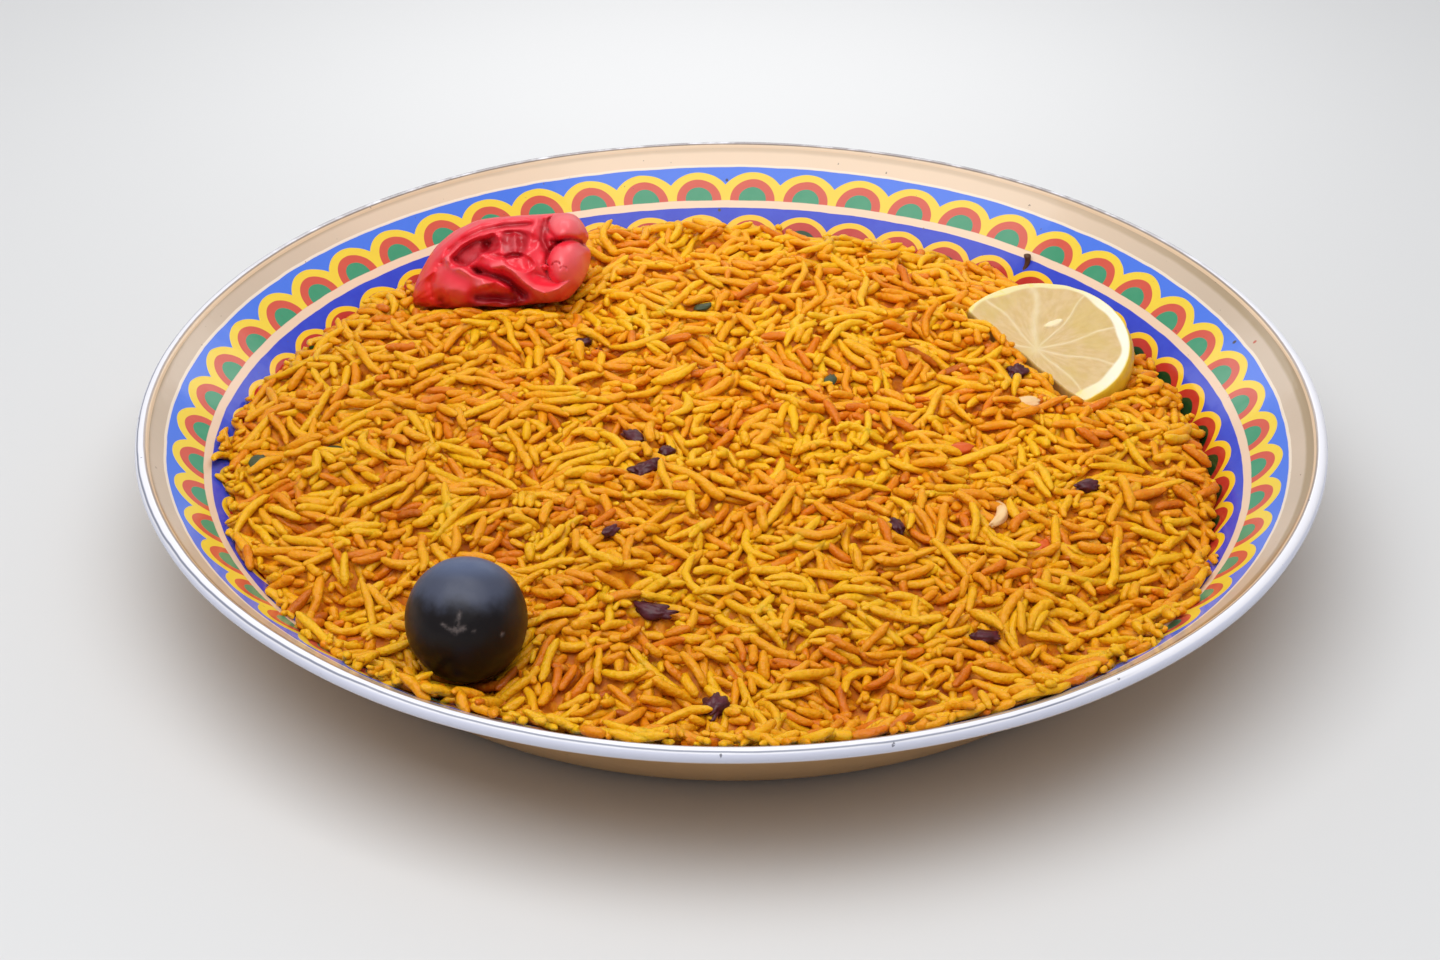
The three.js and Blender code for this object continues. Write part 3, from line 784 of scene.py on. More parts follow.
def lemon_flesh():
    """Pale wet pulp with radial streaks, white membranes and pith, yellow rind."""
    paint = Paint(
        "lemon",
        Roughness=0.28,
        IOR=1.4,
        **moist(0.3, 0.002, (1.0, 0.8, 0.3)),
    )
    place = paint.place()
    fx, fy = paint.number("flat_x"), paint.number("flat_y")
    dx, dy = fx + HEART_X, fy + HEART_Y
    r = (dx**2 + dy**2).root()
    angle = dy.math("ARCTAN2", dy, dx)
    polar = paint.add("ShaderNodeCombineXYZ", {}, {0: r * 0.28, 1: angle * 9, 2: 0.0})
    streak = paint.noise(polar, 1.0, 3)
    pulp = paint.blend(streak.step(0.3, 0.7), (0.62, 0.43, 0.186), (0.68, 0.49, 0.25))
    blotch = paint.noise(place, 11)
    pulp = paint.blend(blotch.step(0.45, 0.7) * 0.5, pulp, (0.62, 0.45, 0.14))
    base = paint.blend(paint.number("membrane") * 0.35, pulp, (0.88, 0.80, 0.55))
    x = paint.split(place)[0]
    pith = paint.blend(x.step(92, 112), (0.80, 0.70, 0.36), (0.88, 0.84, 0.68))
    base = paint.blend(paint.number("pith"), base, pith)
    base = paint.blend(paint.number("pip") * 0.8, base, (0.90, 0.78, 0.50))
    rim = (fx * fx + fy * fy).root().step(24.8, 25.3) * paint.number("rind")
    base = paint.blend(rim, base, (0.92, 0.78, 0.22))
    spots = paint.noise(place, 4.0, 2).step(0.56, 0.64) * paint.number("pith").step(0.0, 0.5)
    base = paint.blend(spots * x.step(104, 94) * 0.6, base, (0.80, 0.68, 0.16))
    rind = paint.blend(paint.noise(place, 3), (0.80, 0.52, 0.030), (0.68, 0.40, 0.016))
    cut = paint.blend(streak, (0.66, 0.50, 0.13), (0.76, 0.62, 0.24))
    flank = paint.blend(paint.number("rind").step(0.4, 0.6), cut, rind)
    base = paint.blend(paint.number("side").step(0.3, 0.9), base, flank)
    cells = paint.noise(polar, 0.6, 2) * 0.6 + paint.noise(place, 1.0, 2) * 0.4
    return paint.set(Base_Color=base, Normal=paint.relief(cells, 0.22, 0.5))


# Black lime


# Strokes and dots of the scar as seen from the near side: from and to, and half width in mm
SCAR = [
    (-0.03, 0.15, -0.062, -0.08, 0.42),
    (-0.31, -0.04, -0.13, -0.14, 0.32),
    (-0.12, -0.15, 0.06, -0.10, 0.55),
    (-0.09, -0.09, -0.10, -0.17, 0.5),
    (0.20, -0.14, 0.205, -0.15, 0.28),
    (0.64, -0.20, 0.65, -0.195, 0.42),
]


def toward_near(across, up):
    """Way from the ball's middle to a place of its near face."""
    out = math.sqrt(1 - across**2 - up**2)
    toward, above = SIGHT_SIN * up - SIGHT_COS * out, SIGHT_COS * up + SIGHT_SIN * out
    return np.array([across, toward, above])


def lime_form():
    """A ball slightly out of round, with a small star-shaped scar and shallow dents."""
    rows, around = 110, 160
    lon = -TAU * np.arange(around) / around
    way = np.roll(ball_ways(rows, lon), -1, -1)
    frayed = 0.25 * ripple(way, 0.12, 44, 16)
    scar = np.zeros(way.shape[:2])
    for u0, v0, u1, v1, width in SCAR:
        start, end = toward_near(u0, v0), toward_near(u1, v1)
        along = end - start
        t = np.clip((way - start) @ along / (along @ along), 0, 1)[..., None]
        gap = np.linalg.norm(way - start - t * along, axis=-1) * LIME_SPAN + frayed
        scar = np.maximum(scar, np.exp(-((np.maximum(gap, 0) / width) ** 2)))
    swell = 1 + 0.008 * ripple(way, 1.4, 12) + 0.004 * ripple(way, 0.4, 13) - 0.008 * scar
    rings = LIME_CENTRE + way * swell[..., None] * LIME_RADII
    up = np.array([0, 0, LIME_RADII[2]])
    form = closed_form(rings, LIME_CENTRE + up, LIME_CENTRE - up)
    return outward(form), np.append(scar.ravel(), [0, 0])


def lime_skin():
    """Near-black smooth skin with a painted slate-blue sheen on its upper part, lighter blue at the
    very top as a painted highlight, and brown at the sides.
    """
    paint = Paint("dried lime skin", IOR=1.42, Specular_IOR_Level=0.35)
    place = paint.place()
    x, y, z = paint.split(place)
    cx, cy, cz = [float(c) for c in LIME_CENTRE]
    across = (x - cx) / LIME_SPAN
    up = ((y - cy) * SIGHT_SIN + (z - cz) * SIGHT_COS) / LIME_SPAN
    blotch = paint.noise(place, 6, 3)
    base = paint.blend(blotch, (0.004, 0.003, 0.004), (0.010, 0.007, 0.008))
    brown = abs(across).step(0.55, 0.95) * up.step(0.6, 0.1)
    base = paint.blend(brown * 0.7, base, (0.045, 0.022, 0.008))
    # Painted sheen: slate blue over the upper part of the ball as seen from the near side.
    edge = up + (blotch - 0.5) * 0.5 + across * 0.1
    painted_sheen = edge.step(0.1, 0.5) * (across - up * 0.3).step(0.75, 0.45)
    base = paint.blend(painted_sheen, base, (0.056, 0.064, 0.100))
    # Painted highlight: lighter blue at the very top.
    base = paint.blend(up.step(0.62, 0.95) * 0.6, base, (0.10, 0.135, 0.24))
    grey = paint.noise(place, 1.5, 2).step(0.3, 0.6)
    base = paint.blend(paint.number("scar") * grey * 0.75, base, (0.17, 0.14, 0.135))
    dull = paint.noise(place, 4, 4).step(0.4, 0.75)
    rough = 0.36 + dull * 0.16
    return paint.finish(base, place, 1.6, 0.08, 0.5, detail=3, Roughness=rough)


# Height map for laying the rice


# Size of a cell of the map and its half width in mm
CELL = 0.6
REACH = 150.0
# Half a grain's thickness as a share of its width
HALF_THICK = 0.45
# How far a grain may stand out over the edge of the loose grains
OVERHANG = 1.5
# CLOSED in the map of wanted heights takes no more grain; any height under SHUT is closed
CLOSED, SHUT = -99.0, -90.0
AXIS = np.arange(-REACH, REACH + CELL / 2, CELL)
GX, GY = np.meshgrid(AXIS, AXIS)
# Nine places along a grain, and what fits a parabola to heights at them
STATIONS = np.linspace(-1, 1, 9)
FIT = np.linalg.pinv(np.stack([np.ones(9), STATIONS, STATIONS**2], -1))


def cells_of(x, y):
    """Rows and columns of the map under places."""
    rows = ((np.asarray(y) + REACH) / CELL + 0.5).astype(int)
    columns = ((np.asarray(x) + REACH) / CELL + 0.5).astype(int)
    return rows, columns


def undersides(*clouds):
    """Height of the lowest garnish point over each cell, endless where there is none."""
    ceiling = np.full(GX.shape, np.inf)
    for points in clouds:
        rows, columns = cells_of(points[:, 0], points[:, 1])
        np.minimum.at(ceiling, (rows, columns), points[:, 2])
    grown = ceiling.copy()
    for dr, dc in ((0, 1), (0, -1), (1, 0), (-1, 0)):
        grown = np.minimum(grown, np.roll(ceiling, (dr, dc), (0, 1)))
    gap = 1 - ((GX - LIME_CENTRE[0]) ** 2 + (GY - LIME_CENTRE[1]) ** 2) / LIME_RADII[0] ** 2
    ball = LIME_CENTRE[2] - LIME_RADII[2] * np.sqrt(np.maximum(gap, 0))
    return np.where(gap > 0, np.minimum(grown, ball), grown)


# Lines in front of the lemon's cut where the rice is banked up
LEMON_BANKS = [(4.2, ((63.0, 58.0), (76.0, 42.0))), (1.6, ((78.0, 40.0), (88.0, 27.0)))]


# Places with more brown grains: x, y, width and how much more
BROWN_PATCHES = [
    (-108.0, -88.0, 11.0, 2.2),
    (-52.0, -118.0, 8.0, 1.6),
    (-60.0, 60.0, 12.0, 1.0),
    (96.0, 30.0, 12.0, 0.9),
]


class Bed:
    """What lies on the plate so far: its height, the height wanted and what hangs over it."""

    def __init__(self, ceiling, depth, seed):
        r = np.hypot(GX, GY)
        spread = np.stack([GX, GY], -1)
        self.rng = np.random.default_rng(seed)
        self.ceiling = ceiling
        self.edge = loose_outline(np.arctan2(GY, GX))
        self.flow = 1.1 * ripple(spread, 45, seed + 4)
        self.patches = 0.7 * ripple(spread, 26, seed + 5)
        for x, y, wide, drop in BROWN_PATCHES:
            self.patches -= drop * np.exp(-((GX - x) ** 2 + (GY - y) ** 2) / wide**2)
        level = heap_height(GX, GY)
        lumps = 2.0 * ripple(spread, 34, seed + 1) + 2.4 * ripple(spread, 17, seed + 3, 14)
        rim = smooth(r, self.edge - 16, self.edge - 2)
        self.wanted = level - 0.3 + lumps * (1 - 0.7 * rim) - 1.2 * rim
        for rise, line in LEMON_BANKS:
            self.wanted += rise * np.exp(-((past(GX, GY, line) / 5.5) ** 2))
        self.wanted = np.maximum(self.wanted, plate_inside(r) + 2.1)
        self.top = self.wanted + 0.5
        self.wanted = np.where(r > self.edge - 1.5, CLOSED, np.minimum(self.wanted, ceiling - 0.3))
        core = level - depth + 0.4 * ripple(spread, 6, seed + 2)
        self.core_roof = ceiling - 0.8
        self.height = np.maximum(np.minimum(core, self.core_roof), plate_inside(r))
        self.grains = []

    def rest(self, x, y, yaw, length, width, bend, sink, jumble):
        """Height, tilt and sag of a grain: the parabola nearest to what is under it, a little
        tipped, let in until a third of it is sunk in its neighbours."""
        c, s = math.cos(yaw), math.sin(yaw)
        along = STATIONS * length / 2
        side = bend * (STATIONS**2 - 1 / 3)
        lanes = np.array([-0.3, 0, 0.3])[:, None] * width
        px = x + along * c - (side + lanes) * s
        py = y + along * s + (side + lanes) * c
        rows, columns = cells_of(px, py)
        r = np.hypot(px[1], py[1])
        if (r > self.edge[rows[1], columns[1]] + OVERHANG).any():
            return None
        under = self.height[rows, columns].max(axis=0)
        base, tilt, curve = FIT @ under
        tilt += self.rng.normal() * jumble * length
        tilt = float(np.clip(tilt, -0.3 * length, 0.3 * length))
        curve = float(np.clip(curve, -0.09 * length, 0.04 * length))
        bearing = self.rng.integers(4, 8)
        base += np.sort(under - base - tilt * STATIONS - curve * STATIONS**2)[bearing]
        base = float(base) + HALF_THICK * width - sink
        middle = base + tilt * STATIONS + curve * STATIONS**2
        roof = self.ceiling[rows, columns].min(axis=0)
        if (middle + width / 2 + 0.12 > roof).any():
            return None
        return base, 2 * tilt / length, -curve

    def stamp(self, x, y, yaw, length, width, bend, rest, flat=1.0):
        """Raises the map to the top of the grain."""
        z, slope, droop = rest
        reach = length / 2 + abs(bend) + width
        r0, r1 = cells_of(x, y - reach)[0], cells_of(x, y + reach)[0] + 1
        c0, c1 = cells_of(x - reach, y)[1], cells_of(x + reach, y)[1] + 1
        dx, dy = AXIS[c0:c1][None, :] - x, AXIS[r0:r1][:, None] - y
        c, s = math.cos(yaw), math.sin(yaw)
        u, v = dx * c + dy * s, dy * c - dx * s
        t = u / (length / 2)
        v = v - bend * (t * t - 1 / 3)
        room = (width / 2) ** 2 * (1 - np.abs(t) ** 4) - v * v
        top = z + slope * u - droop * t * t + 0.9 * flat * np.sqrt(np.maximum(room, 0))
        patch = self.height[r0:r1, c0:c1]
        np.maximum(patch, np.where(room > 0, top, CLOSED), out=patch)

    def lay(self, kind, x, y, length, width, bend, over=1.3, yaws=(), jumble=0.06):
        """Lays one grain, the lowest of a few ways round, if it fits under the heap's top."""
        lowest = None
        sink = self.rng.uniform(0.0, 0.3) * width
        flow = self.flow[cells_of(x, y)]
        for yaw in yaws or flow + self.rng.normal(size=2) * 0.75:
            rest = self.rest(x, y, yaw, length, width, bend, sink, jumble)
            if rest and (lowest is None or rest[0] < lowest[1][0]):
                lowest = (yaw, rest)
        if lowest is None:
            return False
        yaw, rest = lowest
        if rest[0] + HALF_THICK * width > self.top[cells_of(x, y)] + over:
            return False
        self.stamp(x, y, yaw, length, width, bend, rest)
        self.grains.append((kind, x, y, yaw, length, width, bend, *rest))
        return True


# Rice kinds: name, share low in the heap, share on top, lengths, widths, bend and tone
RICE_KINDS = [
    ("long_yellow_rice", 0.12, 0.22, (12.0, 19.0), (2.3, 2.8), 3.0, 0.0),
    ("yellow_rice", 0.22, 0.22, (7.5, 12.5), (2.3, 3.0), 2.0, 0.12),
    ("golden_rice", 0.24, 0.20, (7.0, 12.0), (2.3, 3.0), 1.9, 0.35),
    ("orange_rice", 0.18, 0.16, (7.0, 12.0), (2.2, 2.9), 1.9, 0.66),
    ("broken_rice", 0.15, 0.17, (3.5, 7.0), (2.1, 2.9), 0.6, 0.30),
    ("brown_rice", 0.09, 0.03, (6.0, 10.5), (2.2, 2.8), 1.2, 0.95),
    ("rice_crumbs", 0.0, 0.0, (1.5, 3.8), (1.3, 2.3), 0.4, 0.05),
]
BROWN, CRUMBS = 5, 6
# The most grains of a kind, which keeps each piece under 200,000 triangles
KIND_LIMIT = 1500
# Places of the rings along a grain and a crumb
GRAIN_RINGS = np.array([-0.98, -0.84, -0.45, 0.0, 0.45, 0.84, 0.98])
CRUMB_RINGS = np.array([-0.95, -0.5, 0.5, 0.95])


def pick_kind(bed, height, x, y):
    """A kind at random, with more orange and brown low in the heap and in some patches."""
    low = np.array([k[1] for k in RICE_KINDS])
    top = np.array([k[2] for k in RICE_KINDS])
    share = lerp(low, top, height + bed.patches[cells_of(x, y)])
    share = np.maximum(share, 0.04 * (low > 0))
    share[BROWN] += 0.35 * max(0.0, -0.5 - bed.patches[cells_of(x, y)])
    return int(bed.rng.choice(len(RICE_KINDS), p=share / share.sum()))


def new_grain(rng, kind, bow, shrink=1.0):
    """Length, width and bend of a new grain of a kind."""
    lengths, widths, bends = RICE_KINDS[kind][3:6]
    length, width = rng.uniform(*lengths) * shrink, rng.uniform(*widths)
    return length, width, bends * rng.normal() * bow * length / 12


def fill(bed, tries, height, least=0.6):
    """Lays grains where the heap lacks most, until it lacks less than least. height is 0 low
    in the heap and 1 on top, for the choice of kinds."""
    rng = bed.rng
    idle = 0
    for _ in range(tries):
        r = 150 * np.sqrt(rng.random(6))
        a = rng.random(6) * TAU
        x, y = r * np.cos(a), r * np.sin(a)
        rows, columns = cells_of(x, y)
        lack = bed.wanted[rows, columns] - bed.height[rows, columns]
        best = int(np.argmax(lack))
        if lack[best] < least:
            idle += 1
            if idle > 300:
                return
            continue
        idle = 0
        chosen = pick_kind(bed, height, x[best], y[best])
        for attempt in range(4):
            sizes = new_grain(rng, chosen, 0.6, 0.88**attempt)
            if bed.lay(chosen, x[best], y[best], *sizes):
                break
        else:
            row, column = rows[best], columns[best]
            bed.wanted[row - 2 : row + 3, column - 2 : column + 3] -= 0.4


def shows(bed, grain):
    """Whether some place along a grain is at the heap's final surface."""
    x, y, yaw, length, width, bend, z, slope, droop = grain[1:]
    along = STATIONS * length / 2
    side = bend * (STATIONS**2 - 1 / 3)
    px = x + along * math.cos(yaw) - side * math.sin(yaw)
    py = y + along * math.sin(yaw) + side * math.cos(yaw)
    top = z + slope * along - droop * STATIONS**2 + HALF_THICK * width
    return (top > bed.height[cells_of(px, py)] - 0.9).any()


def grain_forms(grains, rings, sides, seed):
    """Meshes of many grains at once.

    A grain is rings round a bent middle line. Its radius falls to the ends as
    (1 - |t|^5)^0.55, where t runs from -1 to 1, with a little random swelling."""
    rng = np.random.default_rng(seed)
    g = np.array(grains, dtype=float)
    n = len(g)
    x, y, yaw, length, width, bend, z, slope, droop = g[:, 1:].T[:, :, None]
    t = np.concatenate([rings, [-1.0, 1.0]])[None, :]
    half = length / 2
    c, s = np.cos(yaw), np.sin(yaw)
    wiggle = rng.normal(size=(n, 1)) * 0.03 * length
    along = t * half
    side = bend * (t * t - 1 / 3) + wiggle * np.sin(np.pi * t)
    spine = np.stack(
        [x + along * c - side * s, y + along * s + side * c, z + slope * along - droop * t * t], -1
    )
    d_side = (2 * bend * t + wiggle * np.pi * np.cos(np.pi * t)) / half
    way = np.stack([c - d_side * s, s + d_side * c, slope - 2 * droop * t / half], -1)
    way /= np.linalg.norm(way, axis=-1, keepdims=True)
    across = np.stack([-way[..., 1], way[..., 0], 0 * way[..., 0]], -1)
    across /= np.linalg.norm(across, axis=-1, keepdims=True)
    up = np.cross(way, across)
    m = len(rings)
    swell = 1 + 0.06 * rng.normal(size=(n, m)) + 0.11 * rng.normal(size=(n, 1)) * rings
    radius = width / 2 * (1 - np.abs(rings) ** 5) ** 0.55 * swell
    turn = TAU * np.arange(sides) / sides + rng.random((n, 1)) * TAU
    flat = rng.uniform(0.84, 1.0, (n, 1, 1, 1))
    radius = radius[:, :, None, None] * (1 + 0.075 * rng.normal(size=(n, m, sides, 1)))
    ca, sa = np.cos(turn)[:, None, :, None], np.sin(turn)[:, None, :, None]
    body = spine[:, :m, None] + radius * (
        ca * across[:, :m, None] + flat * sa * up[:, :m, None]
    )
    points = np.concatenate([body.reshape(n, m * sides, 3), spine[:, m:]], 1)
    per = m * sides + 2
    shift = (np.arange(n) * per)[:, None, None]
    quads = (grid_faces(m, sides)[None] + shift).reshape(-1, 4)
    tris = (cap_faces(m, sides)[None] + shift).reshape(-1, 3)
    flat_place = np.concatenate([x, y], 1)
    # Painted shade: grains lying lower under the heap's top get a more orange-brown tone.
    deep = np.maximum(heap_height(x[:, 0], y[:, 0]) - z[:, 0], 0)
    tone = 0.20 * ripple(flat_place, 50, 7) + 0.24 * ripple(flat_place, 20, 8)
    tone = tone + 0.15 * rng.normal(size=n) + 0.07 * deep
    return (points.reshape(-1, 3), quads, tris), {"tone": np.repeat(tone, per)}


def rice_skin(name, tone):
    """Moist cooked rice: yellow to orange to red-brown by the grain's tone and by blotches, with
    painted shade: a more orange-brown tone for grains lower in the heap, and darker the farther from
    a place right of the middle on the far side.
    """
    paint = Paint(
        name,
        Roughness=0.3,
        IOR=1.35,
        Specular_IOR_Level=0.4,
        **moist(0.35, 0.0016, (1.0, 0.6, 0.2)),
    )
    place = paint.place()
    blotch = paint.noise(place, 4.5, 2)
    patch = paint.noise(place, 15, 2)
    depth = paint.number("tone") + tone + (blotch - 0.5) * 0.6 + (patch - 0.5) * 0.9
    base = paint.blend(depth.step(-0.2, 0.6), (0.88, 0.47, 0.008), (0.84, 0.33, 0.005))
    base = paint.blend(depth.step(0.45, 1.1), base, (0.72, 0.19, 0.004))
    base = paint.blend(depth.step(1.0, 1.6), base, (0.44, 0.10, 0.005))
    pale = paint.noise(place, 2.6, 1).step(0.66, 0.8)
    base = paint.blend(pale * 0.3, base, (0.95, 0.60, 0.07))
    x, y = paint.split(place)[:2]
    # Painted shade: the rice is darker the farther it lies from a place right of the middle on the
    # far side, most of all on the near side and the left.
    away = (((x - 35) ** 2 + (y - 65) ** 2).root()).step(50, 175)
    values = {0: away, 6: base, 7: (0.87, 0.86, 0.80, 1.0)}
    base = paint.add("ShaderNodeMix", {"data_type": "RGBA", "blend_type": "MULTIPLY"}, values, 2)
    return paint.finish(base, place, 1.4, 0.6, 1.0, detail=3)


def blur(field):
    """Mean over five cells each way, twice."""
    for _ in range(2):
        for axis in (0, 1):
            field = sum(np.roll(field, k, axis) for k in range(-2, 3)) / 5
    return field


def between(field, x, y):
    """A map's values between its cells, in proportion to the distances."""
    row, column = (y + REACH) / CELL, (x + REACH) / CELL
    r, c = np.floor(row).astype(int), np.floor(column).astype(int)
    v, u = row - r, column - c
    near = field[r, c] * (1 - u) + field[r, c + 1] * u
    far = field[r + 1, c] * (1 - u) + field[r + 1, c + 1] * u
    return near * (1 - v) + far * v


def make_core(bed):
    """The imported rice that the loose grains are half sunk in: the blurred heap, lowered."""
    rows, around, floor_rows = 160, 540, 9
    gap = 0.35
    angle = np.arange(around) * TAU / around
    spread = np.stack([GX, GY], -1)
    uneven = 1.0 * ripple(spread, 5, 5, 16) + 0.5 * ripple(spread, 2.8, 6, 16)
    thin = smooth(np.hypot(GX, GY), 129, 140)
    lowered = blur(bed.height) - lerp(2.2, 1.0, thin) + uneven * lerp(1.0, 0.35, thin)
    top_map = np.minimum(lowered, bed.core_roof)
    radii = np.linspace(60, 149, 891)[:, None]
    x, y = radii * np.cos(angle), radii * np.sin(angle)
    free = between(top_map, x, y) - plate_inside(radii) > gap
    free[-1] = False
    edge = radii[:, 0][np.argmin(free, axis=0)]
    for _ in range(2):
        edge = np.minimum(edge, np.roll(edge, 1))
        edge = np.minimum(edge, np.roll(edge, -1))
    share = np.linspace(0, 1, rows + 1)[1:][:, None]
    r = share * edge
    x, y = r * np.cos(angle), r * np.sin(angle)
    top = between(top_map, x, y)
    below = np.linspace(1, 0, floor_rows + 1)[:-1][:, None] * (edge - 0.25)
    bx, by = below * np.cos(angle), below * np.sin(angle)
    floor = plate_inside(below) + gap
    rings = np.concatenate([np.stack([x, y, top], -1), np.stack([bx, by, floor], -1)])
    middle = top_map[cells_of(0, 0)]
    form = closed_form(rings, np.array([0, 0, middle]), np.array([0, 0, WALL + gap]))
    add_piece("rice_core", outward(form), [core_paint()], "rice")


def core_paint():
    """Orange of packed rice seen between the grains, darker than the loose grains as painted shade
    in the gaps, blotched and lumpy.
    """
    paint = Paint(
        "packed rice",
        Roughness=0.45,
        IOR=1.36,
        Specular_IOR_Level=0.3,
        **moist(0.2, 0.002, (1.0, 0.5, 0.1)),
    )
    place = paint.place()
    blotch = paint.noise(place, 3.0, 3)
    # Painted shade: darker orange-brown than the loose grains, so that the gaps between them look
    # shaded.
    base = paint.blend(blotch.step(0.35, 0.65), (0.52, 0.13, 0.003), (0.76, 0.27, 0.004))
    return paint.set(Base_Color=base, Normal=paint.relief(blotch, 0.8, 0.8))


# Small bits in the rice: kind, x, y, yaw, length, width, height
BITS = [
    ("dark_fruit", -22.3, -30.3, 0.5, 8.5, 6.0, 4.2),
    ("dark_fruit", -26.0, -15.7, 2.2, 8.0, 4.5, 3.6),
    ("dark_fruit", -17.4, -20.3, 1.1, 6.0, 4.5, 3.4),
    ("dark_fruit", -19.1, -94.1, -0.3, 10.0, 5.0, 3.8),
    ("dark_fruit", -3.7, -128.0, 1.3, 8.5, 7.0, 4.6),
    ("dark_fruit", 80.0, 31.0, 0.9, 7.0, 5.5, 4.2),
    ("dark_fruit", 94.6, -30.5, 0.2, 7.5, 4.5, 3.4),
    ("dark_fruit", 42.7, -53.6, 1.9, 7.0, 4.5, 3.4),
    ("dark_fruit", 63.2, -98.7, 0.1, 8.0, 5.0, 3.6),
    ("dark_fruit", -30.8, -62.8, 0.8, 6.0, 3.2, 2.6),
    ("dark_fruit", -41.7, 39.2, 0.4, 5.5, 3.0, 2.6),
    ("dark_fruit", -36.8, 35.0, 1.9, 5.0, 3.0, 2.6),
    ("herb_leaf", -8.3, 62.7, 0.6, 6.5, 3.4, 1.5),
    ("herb_leaf", 27.4, 19.3, 1.3, 6.0, 3.6, 1.5),
    ("herb_leaf", -126.6, -17.9, 1.2, 7.0, 4.5, 1.8),
    ("herb_leaf", -106.7, -16.9, 0.2, 8.0, 4.0, 1.8),
    ("tomato_bit", 61.6, -11.7, 0.3, 8.0, 5.0, 2.8),
    ("tomato_bit", 80.3, -56.6, 1.1, 6.5, 3.8, 2.4),
    ("pale_bit", 81.4, 10.9, 0.2, 7.5, 5.5, 3.0),
    ("pale_bit", 69.8, -46.7, 1.35, 13.0, 3.4, 3.0),
]
BIT_BENDS = {("pale_bit", 69.8): 2.2, ("dark_fruit", -19.1): 1.0, ("herb_leaf", -8.3): 0.8}


def nugget(x, y, z, yaw, length, width, height, bend, wrinkle, seed):
    """A bent ball of three sizes with wrinkles."""
    rows, around = 20, 26
    lon = TAU * np.arange(around) / around
    way = ball_ways(rows, lon)
    creases = np.abs(ripple(way * np.array([0.45, 1, 1]), 0.8, seed))
    swell = 1 + wrinkle * (creases - 0.5) + 0.5 * wrinkle * ripple(way, 2.2, seed + 1)
    p = way * swell[..., None] * np.array([length, width, height]) / 2
    ends = np.array([[length / 2, 0, 0], [-length / 2, 0, 0]])
    points = np.vstack([p.reshape(-1, 3), ends])
    side = bend * ((2 * points[:, 0] / length) ** 2 - 1 / 3)
    c, s = math.cos(yaw), math.sin(yaw)
    u, v = points[:, 0], points[:, 1] + side
    points = np.stack([x + u * c - v * s, y + u * s + v * c, z + points[:, 2]], -1)
    return outward((points, grid_faces(rows, around), cap_faces(rows, around)))


def join_forms(forms):
    """Several forms as one."""
    shifts = np.cumsum([0] + [len(f[0]) for f in forms[:-1]])
    points = np.vstack([f[0] for f in forms])
    quads = np.vstack([f[1] + k for f, k in zip(forms, shifts)])
    tris = np.vstack([f[2] + k for f, k in zip(forms, shifts)])
    return points, quads, tris


def bit_paint(kind):
    """Finish of each kind of small bit."""
    tones = {
        "dark_fruit": ((0.022, 0.004, 0.006), (0.13, 0.020, 0.032), 0.34),
        "herb_leaf": ((0.030, 0.045, 0.020), (0.075, 0.085, 0.030), 0.45),
        "tomato_bit": ((0.72, 0.13, 0.015), (0.60, 0.08, 0.010), 0.35),
        "pale_bit": ((0.80, 0.50, 0.22), (0.86, 0.58, 0.30), 0.35),
        "clove": ((0.060, 0.022, 0.010), (0.11, 0.045, 0.02), 0.5),
    }
    dark, light, rough = tones[kind]
    paint = Paint(kind.replace("_", " "), Roughness=rough, IOR=1.4)
    place = paint.place()
    base = paint.blend(paint.noise(place, 1.8, 3), dark, light)
    return paint.finish(base, place, 0.8, 0.25, 0.6, detail=3)


def lay_bits(bed):
    """Puts the small bits on the half-filled heap and keeps their tops free."""
    forms = {}
    for k, (kind, x, y, yaw, length, width, height) in enumerate(BITS):
        bend = BIT_BENDS.get((kind, x), 0.0)
        row, column = cells_of(x, y)
        near = bed.height[row - 3 : row + 4, column - 3 : column + 4]
        level = bed.top[row, column] - 0.2
        z = max(float(np.percentile(near, 50)) + 0.25 * height, level - 0.35 * height)
        roof = bed.ceiling[row, column] - 0.7 * height
        z = min(z, roof)
        bed.stamp(x, y, yaw, length, width, bend, (z, 0.0, 0.0), flat=height / width)
        apart = np.hypot(GX - x, GY - y)
        bed.wanted[apart < 0.32 * (length + width) / 2] = CLOSED
        over = (apart < 0.36 * (length + width) / 2) & (bed.ceiling > z + 0.3)
        bed.ceiling[over] = z + 0.3
        wrinkle = 0.5 if kind == "dark_fruit" else 0.25
        form = nugget(x, y, z, yaw, length, width, height, bend, wrinkle, 60 + k)
        forms.setdefault(kind, []).append(form)
    for kind, made in forms.items():
        add_piece(kind, join_forms(made), [bit_paint(kind)], "rice")


def leave_hollows(bed, count):
    """Small gaps between the grains that no grain may close."""
    rng = bed.rng
    for _ in range(count):
        angle = rng.random() * TAU
        r = 136 * math.sqrt(rng.random())
        x, y = r * math.cos(angle), r * math.sin(angle)
        apart = np.hypot(GX - x, (GY - y) * rng.uniform(0.6, 1.6))
        near = apart < rng.uniform(1.0, 2.4)
        bed.wanted[near] = CLOSED
        bed.ceiling[near] = np.minimum(bed.ceiling[near], bed.top[near] - rng.uniform(1.6, 3.2))


def make_clove():
    """A clove that leans on the flange beyond the far right edge of the rice."""
    t = np.linspace(0, 1, 16)[:, None]
    lon = TAU * np.arange(12) / 12
    foot, head = np.array([87.1, 104.3, 24.2]), np.array([88.9, 106.3, 29.4])
    radius = lerp(0.7, 0.9, t) + 0.2 * smooth(t, 0.75, 0.9)
    line = lerp(foot, head, t)
    line[:, 0] += 0.8 * np.sin(np.pi * t[:, 0])
    rings = line[:, None] + radius[..., None] * np.stack([np.cos(lon), np.sin(lon), 0 * lon], -1)
    form = closed_form(rings, line[0] - [0, 0, 0.3], line[-1] + [0, 0, 0.4])
    add_piece("clove_stalk", outward(form), [bit_paint("clove")], "rice")


